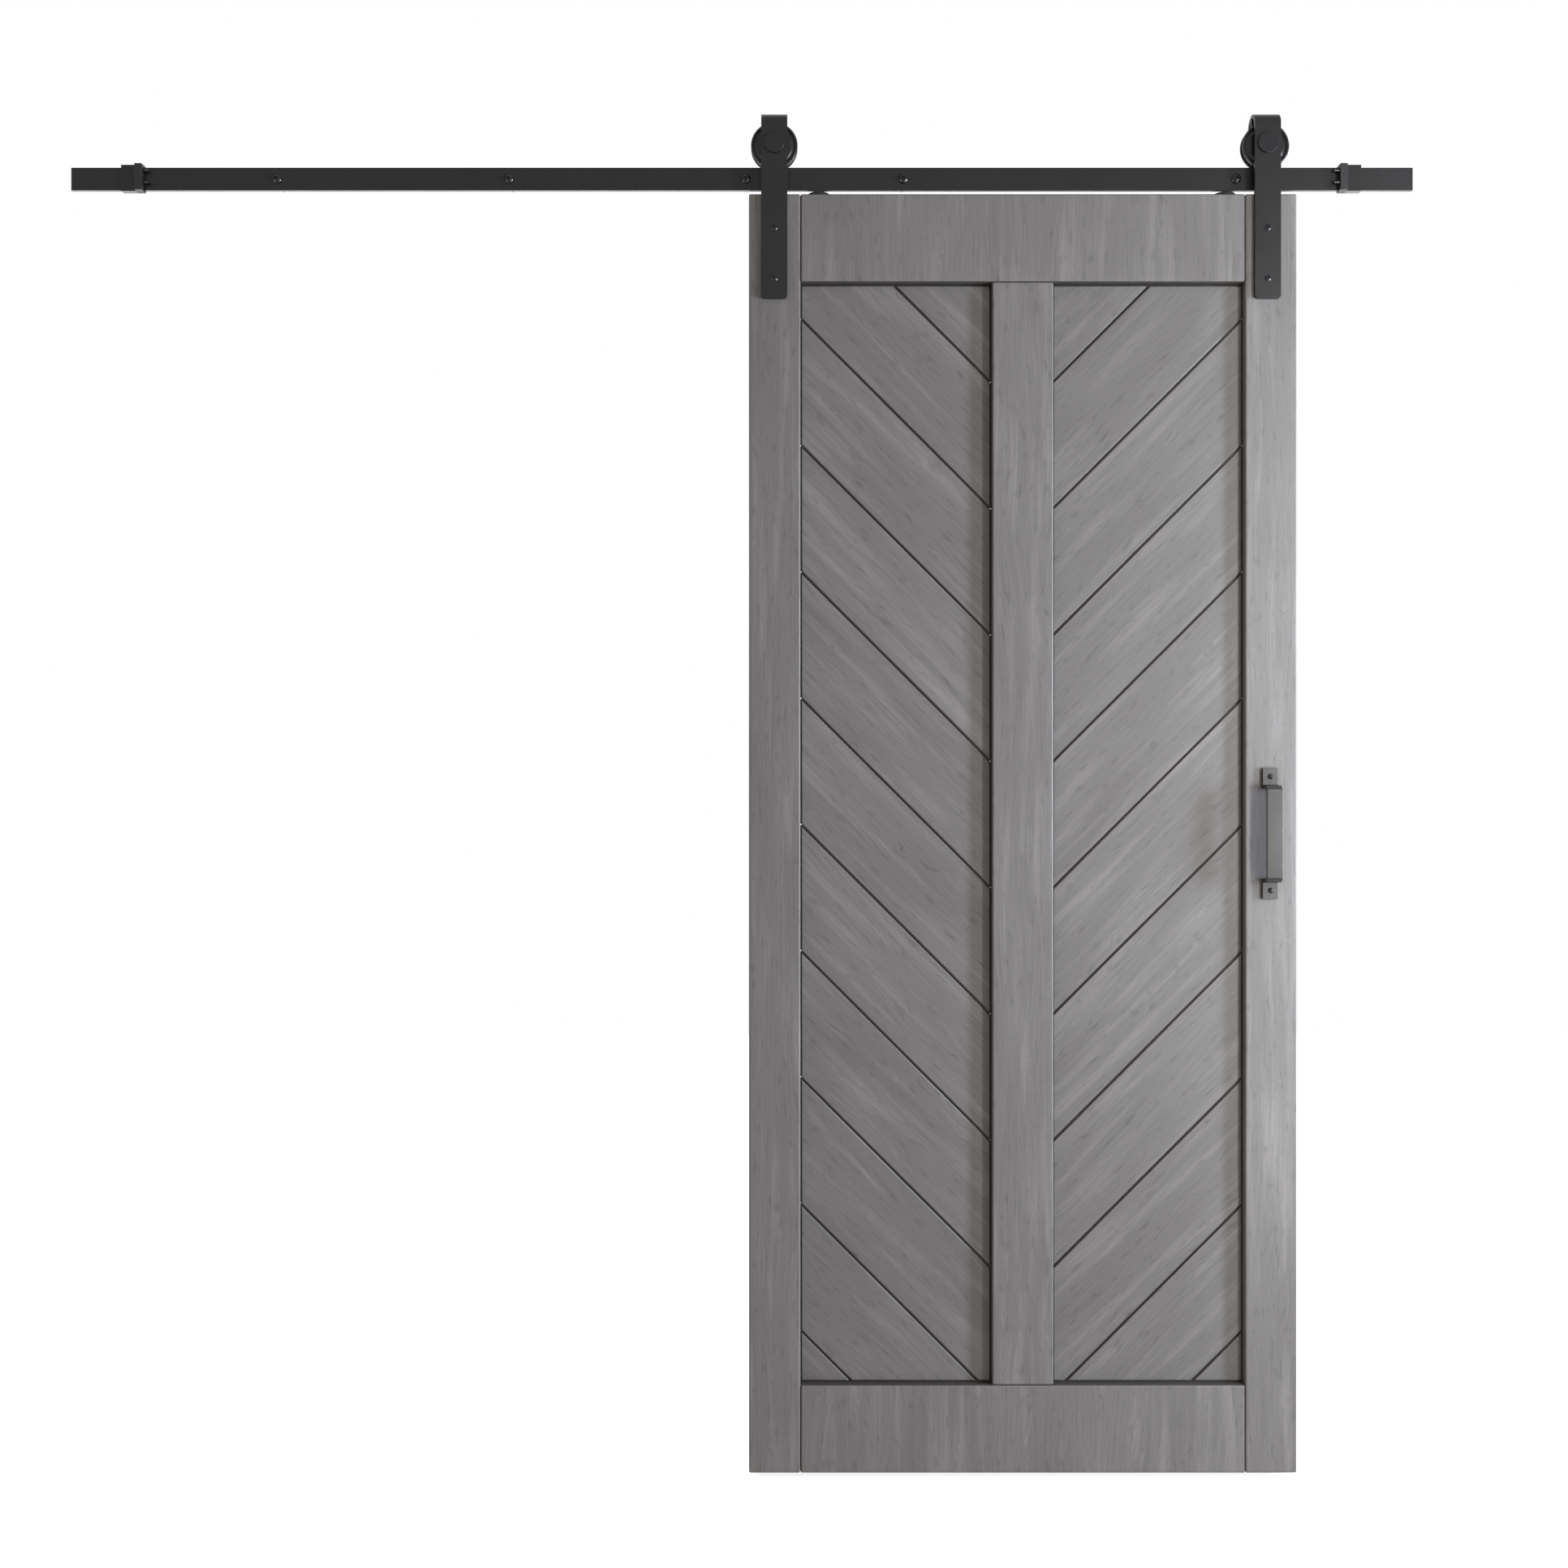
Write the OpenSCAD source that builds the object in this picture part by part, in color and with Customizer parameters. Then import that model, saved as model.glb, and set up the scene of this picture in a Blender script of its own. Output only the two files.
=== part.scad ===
// Sliding barn door: one framed leaf with chevron planks, hung from two rollers on a
// flat steel track that stands off the wall on spacers.
// Millimetres. +X runs to the right along the track, +Z is up and the front faces -Y.
// The origin is on the wall plane, on the axis of the third lag screw from the left.

/* [Door frame] */
// Width of the door
door_w = 914; // [880:1:1000]
// Height of the door
door_h = 2134; // [2000:1:2240]
// Thickness of the stiles and rails
door_t = 44; // [40:1:50]
// Width of each outer stile
stile_w = 86; // [80:1:100]
// Height of the top rail and of the bottom rail
rail_h = 147; // [130:1:170]
// Width of the middle stile
mid_stile_w = 102; // [90:1:120]
// Chamfer along every edge of a frame timber
frame_ease = 2.5; // [1:0.1:4]
// Door's left edge, measured from the third lag screw while the door is at rest
door_left_x = 5.3; // [0:0.1:20]
// Drop from the track's centre line to the top of the door
door_drop = 28.5; // [28:0.1:32]
// Diameter of the joining dowels
dowel_d = 10; // [8:1:12]
// Depth that a dowel enters each timber
dowel_depth = 28; // [20:1:28]

/* [Planks] */
// Thickness of a plank
plank_t = 15; // [12:0.5:18]
// Width that one plank covers, seam to seam
plank_w = 150; // [145:1:160]
// Drop from the top of the opening to the first seam that starts at its outer edge
first_seam_drop = 56.5; // [40:0.5:80]
// Width of the open seam between two planks
seam_w = 3.5; // [2:0.1:5]
// Gap between a plank's face and the frame around it
rim_gap = 2.2; // [1:0.1:4]
// Thickness of the tongue on the planks
tongue_t = 7; // [5:0.5:9]
// Length of the tongue beyond the open seam or the rim gap
tongue_len = 8; // [5:0.5:10]

/* [Track] */
// Length of the track bar
track_len = 2246.3; // [2200:0.1:2400]
// Height of the track bar
track_h = 38; // [36:1:40]
// Thickness of the track bar
track_t = 6; // [5:0.5:8]
// Distance from the third lag screw to the left end of the track
track_left = 1129.6; // [1120:0.1:1200]
// Length of the spacers between the wall and the track
wall_gap = 36; // [34:1:45]
// Diameter of the spacers
spacer_d = 14; // [14:1:16]

/* [Hangers] */
// Width of the strap
strap_w = 43.6; // [40:0.1:46]
// Thickness of the strap
strap_t = 6; // [5:0.5:7]
// Clear width inside the strap's bend
strap_gap = 27; // [26:0.5:30]
// Height of the bend's centre above the axle
bend_rise = 34; // [30:1:44]
// Length of the strap on the door, from the door's top
strap_drop = 176; // [165:1:200]
// Radius of the strap's lower corners
strap_corner_r = 4.5; // [2:0.5:8]
// Left strap's centre, in from the door's left edge
left_strap_inset = 42.4; // [40:0.1:44]
// Right strap's centre, in from the door's right edge
right_strap_inset = 50.1; // [46:0.1:51]
// Drop from the door's top to the upper strap bolt
upper_bolt_drop = 58.9; // [56:0.1:65]
// Drop from the door's top to the lower strap bolt
lower_bolt_drop = 143.3; // [140:0.1:150]

/* [Wheels] */
// Radius over the wheel's flanges
wheel_r = 39; // [38:0.5:42]
// Radius of the groove that runs on the track
tread_r = 34.7; // [34:0.1:35]
// Width of the wheel
wheel_w = 18; // [16:1:19]
// Width of the groove at its bottom
groove_w = 8; // [7.5:0.1:9]
// Number of balls in each bearing
ball_count = 8; // [6:1:8]

/* [End stops] */
// Inner face of the left stop, to the left of the third lag screw
left_stop_x = 1007.7; // [1000:0.1:1040]
// Inner face of the right stop, to the right of the third lag screw
right_stop_x = 992.2; // [985:0.1:1040]
// Length of the clamp block along the track
clamp_len = 25; // [20:1:30]
// Length of the bumper block along the track
bumper_len = 12.5; // [11:0.5:16]
// Length that a bumper pin stands out towards the door
pin_out = 9.5; // [6:0.5:10]

/* [Anti-jump discs] */
// Radius of a disc
disc_r = 19; // [15:1:21]
// Thickness of a disc
disc_t = 6; // [4:0.5:7]
// Left disc's centre, in from the door's left edge
left_disc_inset = 116.9; // [112:0.1:200]
// Right disc's centre, in from the door's right edge
right_disc_inset = 115.2; // [112:0.1:200]

/* [Pull handle] */
// Overall height of the handle
handle_h = 218; // [180:1:260]
// Width of the flat bar
handle_w = 25.6; // [20:0.1:30]
// Thickness of the flat bar
handle_t = 6; // [4:0.5:7]
// Distance from the door's face to the front of the grip
handle_reach = 31; // [28:1:45]
// Height of each foot on the door
handle_foot = 28.4; // [24:0.1:34]
// Depth of the slanted corner between the grip and a leg
handle_bend = 8; // [6:0.5:10]
// Handle's centre, in from the door's right edge
handle_inset = 46.2; // [40:0.1:50]
// Height of the handle's centre above the door's bottom
handle_rise = 1067; // [900:1:1150]

/* [Screws and bolts] */
// Radius of a lag screw's head
lag_head_r = 8; // [7:0.5:9]
// Radius of the thread that enters the wall
lag_thread_r = 4; // [3.9:0.1:4.2]
// Length of full thread that enters the wall
lag_thread_len = 36; // [25:1:60]

/* [Hidden] */
$fn = 48;

// Places of the lag screws along the track, from the third one
LAG_X = [-785.7, -396.9, 0, 263.7, 821.1];

// Depths are measured from the wall plane towards the viewer
track_mid = wall_gap + track_t / 2;
door_front = track_mid + strap_gap / 2;
door_mid = door_front - door_t / 2;
door_right_x = door_left_x + door_w;
door_top = -door_drop;
door_bottom = door_top - door_h;
mid_x = door_left_x + door_w / 2;

// The two openings between the timbers, and the boxes that the plank tongues enter
opening_w = (door_w - 2 * stile_w - mid_stile_w) / 2;
opening_h = door_h - 2 * rail_h;
opening_top = door_top - rail_h;
left_opening_x = door_left_x + stile_w;
tongue_slack = 0.1;
groove_slack = 0.5;

// Seams run at 45 degrees; a seam's drop is where it meets the opening's outer edge
seam_pitch = plank_w * sqrt(2);
top_seam_drop = first_seam_drop
    - seam_pitch * floor((first_seam_drop + opening_w) / seam_pitch);
seam_count = floor((opening_h - top_seam_drop) / seam_pitch) + 1;
plank_count = seam_count + 1;
plank_reach = 2 * opening_w;

// The axles stand where the groove clears the top of the track by a hair
tread_clear = 0.3;
axle_z = track_h / 2 + tread_clear + tread_r;
axle_r = 5;
bend_z = axle_z + bend_rise;
strap_x = [door_left_x + left_strap_inset, door_right_x - right_strap_inset];
strap_bolt_z = [door_top - upper_bolt_drop, door_top - lower_bolt_drop];
strap_bolt_r = 4;
nut_barrel_r = 5.2;
nut_barrel_len = 18;
cap_r = 16.8;
cap_h = 3;
axle_nut_h = 8;

bearing_r = 15;
bearing_w = 12;
ball_r = 3;
ball_pitch_r = 10;
outer_race_r = 12.2;
inner_race_r = 7.8;
ball_clear = 0.3;
bush_r = 8;
hub_hole_r = 9.5;

stop_low = -21;
stop_high = 23;
stop_back = 32.5;
clamp_front = 45;
bumper_front = 52;
slot_gap = 0.15;
pin_z = [12.3, -7.1];
pin_depth = 47;
pin_r = 2.75;
pin_hold = 10;
set_screw_r = 2.5;

disc_x = [door_left_x + left_disc_inset, door_right_x - right_disc_inset];
disc_depth = 28.5;
disc_screw_r = 2.5;
disc_screw_head_r = 5;
disc_screw_len = 35;

handle_x = door_right_x - handle_inset;
handle_z = door_bottom + handle_rise;
handle_screw_z = handle_h / 2 - handle_foot / 2;
handle_screw_r = 2.2;
handle_screw_len = 25;

lag_shank_r = 3.7;
lag_hole_r = 4.3;
lag_tip = 6;

WOOD = "#8a888b";
PLANK = "#7d7b7e";
BLACK = "#343334";
STEEL = "#b8b8ba";
RUBBER = "#2b2a2b";
BEECH = "#c9a878";

// ---- Shapes that several pieces share ----

// Rectangle with its four corners cut at 45 degrees
module eased_outline(a, b, ease) {
    polygon([[ease, 0], [a - ease, 0], [a, ease], [a, b - ease],
             [a - ease, b], [ease, b], [0, b - ease], [0, ease]]);
}

// Block with all twelve edges chamfered, its lowest corner at the origin
module eased_block(size, ease) {
    intersection() {
        linear_extrude(size.z) eased_outline(size.x, size.y, ease);
        translate([0, size.y, 0]) rotate([90, 0, 0])
            linear_extrude(size.y) eased_outline(size.x, size.z, ease);
        rotate([90, 0, 90]) linear_extrude(size.x) eased_outline(size.y, size.z, ease);
    }
}

// Puts an upright shape at x, z with its +Z pointing to the front, from that depth
module facing_front(x, depth, z) {
    translate([x, -depth, z]) rotate([90, 0, 0]) children();
}

// Domed screw head with a hexagon socket, standing on z = 0
module domed_head(head_r, head_h, rim_h, socket_w, socket_h) {
    dome_h = head_h - rim_h;
    dome_r = (head_r * head_r + dome_h * dome_h) / (2 * dome_h);
    difference() {
        union() {
            cylinder(r = head_r, h = rim_h);
            intersection() {
                translate([0, 0, head_h - dome_r]) sphere(dome_r);
                translate([0, 0, rim_h]) cylinder(r = head_r + 1, h = head_h);
            }
        }
        translate([0, 0, head_h - socket_h])
            cylinder(d = socket_w * 2 / sqrt(3), h = socket_h + 1, $fn = 6);
    }
}

// ---- Track and what fixes it to the wall ----

module track_bar() {
    color(BLACK) difference() {
        translate([-track_left, -wall_gap - track_t, -track_h / 2])
            eased_block([track_len, track_t, track_h], 0.6);
        for (x = LAG_X) facing_front(x, wall_gap - 1, 0)
            cylinder(r = lag_hole_r, h = track_t + 2);
    }
}

module wall_spacer(i) {
    color(BLACK) facing_front(LAG_X[i - 1], 0, 0) difference() {
        cylinder(d = spacer_d, h = wall_gap);
        translate([0, 0, -1]) cylinder(r = lag_hole_r, h = wall_gap + 2);
    }
}

module lag_screws() {
    head_base = wall_gap + track_t;
    color(BLACK) for (x = LAG_X) facing_front(x, 0, 0) {
        translate([0, 0, head_base]) domed_head(lag_head_r, 5.5, 1.2, 5, 3);
        cylinder(r = lag_shank_r, h = head_base);
        translate([0, 0, -lag_thread_len]) cylinder(r = lag_thread_r, h = lag_thread_len);
        translate([0, 0, -lag_thread_len - lag_tip])
            cylinder(r1 = 0.5, r2 = lag_thread_r, h = lag_tip);
    }
}

// ---- End stops: a clamp block and a bumper block, both threaded on the track ----

// Block around the track, from x = 0 to len, with a tapped hole in its back wall
module stop_sleeve(len, front) {
    difference() {
        translate([0, -front, stop_low])
            eased_block([len, front - stop_back, stop_high - stop_low], 0.8);
        translate([-1, -track_mid - track_t / 2 - slot_gap, -track_h / 2 - slot_gap])
            cube([len + 2, track_t + 2 * slot_gap, track_h + 2 * slot_gap]);
        facing_front(len / 2, stop_back - 1, 0)
            cylinder(r = set_screw_r, h = wall_gap - stop_back + 1);
    }
}

module stop_clamp() {
    color(BLACK) translate([-bumper_len - clamp_len, 0, 0])
        stop_sleeve(clamp_len, clamp_front);
}

module stop_bumper() {
    color(RUBBER) translate([-bumper_len, 0, 0]) difference() {
        stop_sleeve(bumper_len, bumper_front);
        for (z = pin_z) translate([bumper_len - pin_hold, -pin_depth, z])
            rotate([0, 90, 0]) cylinder(r = pin_r, h = pin_hold + 1);
    }
}

// A stop is drawn with its inner face at x = 0, facing +X; the right one is its mirror
module at_left_stop() { translate([-left_stop_x, 0, 0]) children(); }
module at_right_stop() { translate([right_stop_x, 0, 0]) mirror([1, 0, 0]) children(); }

module bumper_pin_pair() {
    tip = 0.6;
    for (z = pin_z) translate([-pin_hold, -pin_depth, z]) rotate([0, 90, 0]) {
        cylinder(r = pin_r, h = pin_hold + pin_out - tip);
        translate([0, 0, pin_hold + pin_out - tip])
            cylinder(r1 = pin_r, r2 = pin_r - tip, h = tip);
    }
}

module bumper_pins() {
    color(STEEL) {
        at_left_stop() bumper_pin_pair();
        at_right_stop() bumper_pin_pair();
    }
}

// Set screws through the back walls, pressing on the back of the track
module set_screw_pair() {
    for (x = [-bumper_len / 2, -bumper_len - clamp_len / 2])
        facing_front(x, stop_back, 0) difference() {
            cylinder(r = set_screw_r, h = wall_gap - stop_back);
            translate([0, 0, -1]) cylinder(d = 2.9, h = 3, $fn = 6);
        }
}

module stop_set_screws() {
    color(STEEL) {
        at_left_stop() set_screw_pair();
        at_right_stop() set_screw_pair();
    }
}

// ---- Door frame ----

// Space that the plank tongues need around one opening, cut from every timber
module plank_groove(opening_x) {
    reach = tongue_len + groove_slack;
    thick = tongue_t + 2 * tongue_slack;
    translate([opening_x - reach, -door_mid - thick / 2, opening_top - opening_h - reach])
        cube([opening_w + 2 * reach, thick, opening_h + 2 * reach]);
}

module plank_grooves() {
    plank_groove(left_opening_x);
    plank_groove(left_opening_x + opening_w + mid_stile_w);
}

// Two dowels at each end of a rail and two at each end of the middle stile
module dowel_set() {
    for (x = [door_left_x + stile_w, door_right_x - stile_w])
        for (rail_top = [door_top, door_bottom + rail_h])
            for (drop = [40, rail_h - 40])
                translate([x - dowel_depth, -door_mid, rail_top - drop])
                    rotate([0, 90, 0]) cylinder(d = dowel_d, h = 2 * dowel_depth);
    for (z = [opening_top, opening_top - opening_h])
        for (side = [-1, 1])
            translate([mid_x + side * mid_stile_w / 4, -door_mid, z - dowel_depth])
                cylinder(d = dowel_d, h = 2 * dowel_depth);
}

module frame_dowels() {
    color(BEECH) dowel_set();
}

// Hole for a strap bolt, wider at the back where the sleeve nut sits
module strap_bolt_holes(x) {
    for (z = strap_bolt_z) facing_front(x, door_front - door_t - 1, z) {
        cylinder(r = strap_bolt_r, h = door_t + 2);
        cylinder(r = nut_barrel_r, h = nut_barrel_len + 1);
    }
}

module left_stile() {
    color(WOOD) difference() {
        translate([door_left_x, -door_front, door_bottom])
            eased_block([stile_w, door_t, door_h], frame_ease);
        plank_grooves();
        dowel_set();
        strap_bolt_holes(strap_x[0]);
    }
}

module right_stile() {
    color(WOOD) difference() {
        translate([door_right_x - stile_w, -door_front, door_bottom])
            eased_block([stile_w, door_t, door_h], frame_ease);
        plank_grooves();
        dowel_set();
        strap_bolt_holes(strap_x[1]);
        for (side = [-1, 1])
            facing_front(handle_x, door_front - handle_screw_len, handle_z + side * handle_screw_z)
                cylinder(r = handle_screw_r, h = handle_screw_len + 1);
    }
}

module rail(top) {
    translate([left_opening_x, -door_front, top - rail_h])
        eased_block([door_w - 2 * stile_w, door_t, rail_h], frame_ease);
}

module top_rail() {
    color(WOOD) difference() {
        rail(door_top);
        plank_grooves();
        dowel_set();
        for (x = disc_x) translate([x, -disc_depth, door_top - disc_screw_len + disc_t])
            cylinder(r = disc_screw_r, h = disc_screw_len);
    }
}

module bottom_rail() {
    color(WOOD) difference() {
        rail(door_bottom + rail_h);
        plank_grooves();
        dowel_set();
    }
}

module middle_stile() {
    color(WOOD) difference() {
        translate([mid_x - mid_stile_w / 2, -door_front, opening_top - opening_h])
            eased_block([mid_stile_w, door_t, opening_h], frame_ease);
        plank_grooves();
        dowel_set();
    }
}

// ---- Planks: tongued boards that run down towards the middle stile at 45 degrees ----
// A panel is drawn flat, with the opening's top left corner at the origin and +Y up.

// Opening's outline, made larger on all sides by grow
module opening_outline(grow) {
    translate([-grow, -opening_h - grow])
        square([opening_w + 2 * grow, opening_h + 2 * grow]);
}

// Strip along plank i, between two distances above the seam under it
module plank_strip(i, from, to) {
    seam_drop = top_seam_drop + (i - 1) * seam_pitch;
    translate([0, -seam_drop]) rotate(-45) translate([-plank_reach, from])
        square([3 * plank_reach, to - from]);
}

module flat_plank(i) {
    face_from = seam_w / 2;
    face_to = plank_w - seam_w / 2;
    side_t = (plank_t - tongue_t) / 2;
    difference() {
        union() {
            linear_extrude(plank_t) intersection() {
                plank_strip(i, face_from, face_to);
                opening_outline(-rim_gap);
            }
            translate([0, 0, side_t]) linear_extrude(tongue_t) intersection() {
                plank_strip(i, face_from, face_to + seam_w + tongue_len);
                opening_outline(tongue_len);
            }
        }
        translate([0, 0, side_t - tongue_slack])
            linear_extrude(tongue_t + 2 * tongue_slack)
                plank_strip(i, 0, face_from + tongue_len + groove_slack);
    }
}

module left_plank(i) {
    color(PLANK) facing_front(left_opening_x, door_mid - plank_t / 2, opening_top)
        flat_plank(i);
}

module right_plank(i) {
    translate([2 * mid_x, 0, 0]) mirror([1, 0, 0]) left_plank(i);
}

// ---- Hangers ----

// Flat bar bent over the wheel: long leg on the door's face, short leg behind the wheel
module strap(x) {
    bend_r = strap_gap / 2 + strap_t;
    strap_low = door_top - strap_drop;
    color(BLACK) difference() {
        union() {
            translate([x - strap_w / 2, -track_mid, bend_z]) rotate([90, 0, 90])
                linear_extrude(strap_w) difference() {
                    circle(bend_r);
                    circle(strap_gap / 2);
                    translate([-bend_r, -bend_r]) square([2 * bend_r, bend_r]);
                }
            facing_front(x, door_front, 0) linear_extrude(strap_t) {
                translate([-strap_w / 2, strap_low + strap_corner_r])
                    square([strap_w, bend_z - strap_low - strap_corner_r]);
                translate([-strap_w / 2 + strap_corner_r, strap_low])
                    square([strap_w - 2 * strap_corner_r, 2 * strap_corner_r]);
                for (side = [-1, 1])
                    translate([side * (strap_w / 2 - strap_corner_r), strap_low + strap_corner_r])
                        circle(strap_corner_r);
            }
            facing_front(x, track_mid - bend_r, 0) linear_extrude(strap_t) {
                translate([-strap_w / 2, axle_z]) square([strap_w, bend_rise]);
                translate([0, axle_z]) circle(d = strap_w);
            }
        }
        facing_front(x, 0, axle_z) cylinder(r = axle_r, h = 2 * door_front);
        for (z = strap_bolt_z) facing_front(x, door_front - 1, z)
            cylinder(r = strap_bolt_r, h = strap_t + 2);
    }
}

module strap_bolts() {
    color(BLACK) for (x = strap_x) for (z = strap_bolt_z)
        facing_front(x, door_front - door_t, z) {
            cylinder(r = strap_bolt_r, h = door_t + strap_t);
            translate([0, 0, door_t + strap_t]) domed_head(5.5, 3, 0.6, 4, 1.8);
        }
}

// Sleeve nuts let in from the back, with a thin flange on the door
module strap_nuts() {
    flange_h = 2.5;
    color(BLACK) for (x = strap_x) for (z = strap_bolt_z)
        facing_front(x, door_front - door_t - flange_h, z) difference() {
            union() {
                cylinder(r = 8, h = flange_h);
                cylinder(r = nut_barrel_r, h = flange_h + nut_barrel_len);
            }
            translate([0, 0, flange_h]) cylinder(r = strap_bolt_r, h = nut_barrel_len + 1);
            translate([0, 0, -1]) cylinder(d = 5.8, h = flange_h, $fn = 6);
        }
}

module axle_bolts() {
    back = track_mid - strap_gap / 2 - strap_t - axle_nut_h - 1.5;
    front = door_front + strap_t;
    cap_ease = 0.8;
    color(BLACK) for (x = strap_x) facing_front(x, 0, axle_z) {
        translate([0, 0, back]) cylinder(r = axle_r, h = front - back);
        translate([0, 0, front]) cylinder(r = cap_r, h = cap_h - cap_ease);
        translate([0, 0, front + cap_h - cap_ease])
            cylinder(r1 = cap_r, r2 = cap_r - cap_ease, h = cap_ease);
    }
}

module axle_nuts() {
    nut_w = 17;
    color(BLACK) for (x = strap_x)
        facing_front(x, track_mid - strap_gap / 2 - strap_t - axle_nut_h, axle_z)
            difference() {
                cylinder(d = nut_w * 2 / sqrt(3), h = axle_nut_h, $fn = 6);
                translate([0, 0, -1]) cylinder(r = axle_r, h = axle_nut_h + 2);
            }
}

// One bush on each side of each bearing keeps the wheel centred in the strap
module axle_bushes() {
    bush_len = (strap_gap - bearing_w) / 2;
    color(STEEL) for (x = strap_x)
        for (depth = [track_mid - strap_gap / 2, track_mid + bearing_w / 2])
            facing_front(x, depth, axle_z) difference() {
                cylinder(r = bush_r, h = bush_len);
                translate([0, 0, -1]) cylinder(r = axle_r, h = bush_len + 2);
            }
}

// ---- Wheels and bearings, drawn around z with +Z to the front ----

// Grooved roller with a dished ring in each face; the bearing enters from the back
module wheel(x) {
    half = wheel_w / 2;
    groove = groove_w / 2;
    rim = 1;
    dish = 3;
    color(BLACK) facing_front(x, track_mid, axle_z) rotate_extrude($fn = 96)
        polygon([
            [bearing_r, -half], [24, -half], [27, dish - half], [31, dish - half],
            [33.5, -half], [wheel_r - rim, -half], [wheel_r, rim - half],
            [wheel_r, -groove - 1.2], [tread_r, -groove],
            [tread_r, groove], [wheel_r, groove + 1.2],
            [wheel_r, half - rim], [wheel_r - rim, half], [33.5, half],
            [31, half - dish], [27, half - dish], [24, half], [hub_hole_r, half],
            [hub_hole_r, bearing_w / 2], [bearing_r, bearing_w / 2]
        ]);
}

module bearing_ring(x) {
    color(STEEL) facing_front(x, track_mid, axle_z) rotate_extrude() difference() {
        translate([outer_race_r, -bearing_w / 2])
            square([bearing_r - outer_race_r, bearing_w]);
        translate([ball_pitch_r, 0]) circle(ball_r + ball_clear);
    }
}

module bearing_inner_rings() {
    color(STEEL) for (x = strap_x)
        facing_front(x, track_mid, axle_z) rotate_extrude() difference() {
            translate([axle_r, -bearing_w / 2])
                square([inner_race_r - axle_r, bearing_w]);
            translate([ball_pitch_r, 0]) circle(ball_r + 0.05);
        }
}

module bearing_balls() {
    color(STEEL) for (x = strap_x) facing_front(x, track_mid, axle_z)
        for (i = [0 : ball_count - 1]) rotate(i * 360 / ball_count)
            translate([ball_pitch_r, 0, 0]) sphere(ball_r, $fn = 24);
}

// ---- Anti-jump discs on the top rail ----

module antijump_disc(x) {
    ease = 0.8;
    color(BLACK) translate([x, -disc_depth, door_top]) difference() {
        union() {
            cylinder(r = disc_r, h = disc_t - ease);
            translate([0, 0, disc_t - ease])
                cylinder(r1 = disc_r, r2 = disc_r - ease, h = ease);
        }
        translate([0, 0, -1]) cylinder(r = disc_screw_r, h = disc_t + 2);
        translate([0, 0, disc_t - disc_screw_head_r + disc_screw_r])
            cylinder(r1 = disc_screw_r, r2 = disc_screw_head_r + 0.1,
                     h = disc_screw_head_r - disc_screw_r + 0.1);
    }
}

module disc_screws() {
    head_h = disc_screw_head_r - disc_screw_r;
    color(STEEL) for (x = disc_x) translate([x, -disc_depth, door_top + disc_t])
        difference() {
            union() {
                translate([0, 0, -disc_screw_len]) cylinder(r = disc_screw_r, h = disc_screw_len);
                translate([0, 0, -head_h])
                    cylinder(r1 = disc_screw_r, r2 = disc_screw_head_r, h = head_h);
            }
            translate([0, 0, -1.8]) cylinder(d = 3.4, h = 3, $fn = 6);
        }
}

// ---- Pull handle: one flat bar folded into two feet, two legs and a grip ----

// Upper half of the bar's edge line as [depth off the door, height above the centre]
function handle_half() =
    let (
        leg = handle_h / 2 - handle_foot,
        fold = handle_t * (sqrt(2) - 1)
    )
    [
        [handle_reach, leg - handle_bend],
        [handle_reach - handle_bend, leg],
        [handle_t, leg],
        [handle_t, handle_h / 2],
        [0, handle_h / 2],
        [0, leg - handle_t],
        [handle_reach - handle_bend - fold, leg - handle_t],
        [handle_reach - handle_t, leg - handle_bend - fold]
    ];

module pull_handle() {
    half = handle_half();
    last = len(half) - 1;
    color(BLACK) difference() {
        translate([handle_x - handle_w / 2, -door_front, handle_z])
            rotate([90, 0, 90]) linear_extrude(handle_w)
                polygon(concat([for (p = half) [-p.x, p.y]],
                               [for (i = [0 : last]) [-half[last - i].x, -half[last - i].y]]));
        for (side = [-1, 1])
            facing_front(handle_x, door_front - 1, handle_z + side * handle_screw_z)
                cylinder(r = handle_screw_r, h = handle_t + 2);
    }
}

module handle_screws() {
    color(BLACK) for (side = [-1, 1])
        facing_front(handle_x, door_front - handle_screw_len, handle_z + side * handle_screw_z) {
            cylinder(r = handle_screw_r, h = handle_screw_len + handle_t);
            translate([0, 0, handle_screw_len + handle_t]) domed_head(4.65, 3, 0.4, 3, 1.5);
        }
}

track_bar();
for (i = [1 : len(LAG_X)])
    wall_spacer(i);
lag_screws();
at_left_stop() stop_clamp();  // left_stop_clamp
at_right_stop() stop_clamp();  // right_stop_clamp
at_left_stop() stop_bumper();  // left_stop_bumper
at_right_stop() stop_bumper();  // right_stop_bumper
bumper_pins();
stop_set_screws();
left_stile();
right_stile();
top_rail();
bottom_rail();
middle_stile();
frame_dowels();
for (i = [1 : plank_count]) {
    left_plank(i);
    right_plank(i);
}
strap(strap_x[0]);  // left_strap
strap(strap_x[1]);  // right_strap
strap_bolts();
strap_nuts();
axle_bolts();
axle_nuts();
axle_bushes();
bearing_inner_rings();
bearing_balls();
wheel(strap_x[0]);  // left_wheel
wheel(strap_x[1]);  // right_wheel
bearing_ring(strap_x[0]);  // left_bearing_ring
bearing_ring(strap_x[1]);  // right_bearing_ring
antijump_disc(disc_x[0]);  // left_antijump_disc
antijump_disc(disc_x[1]);  // right_antijump_disc
disc_screws();
pull_handle();
handle_screws();
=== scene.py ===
import math

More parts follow.
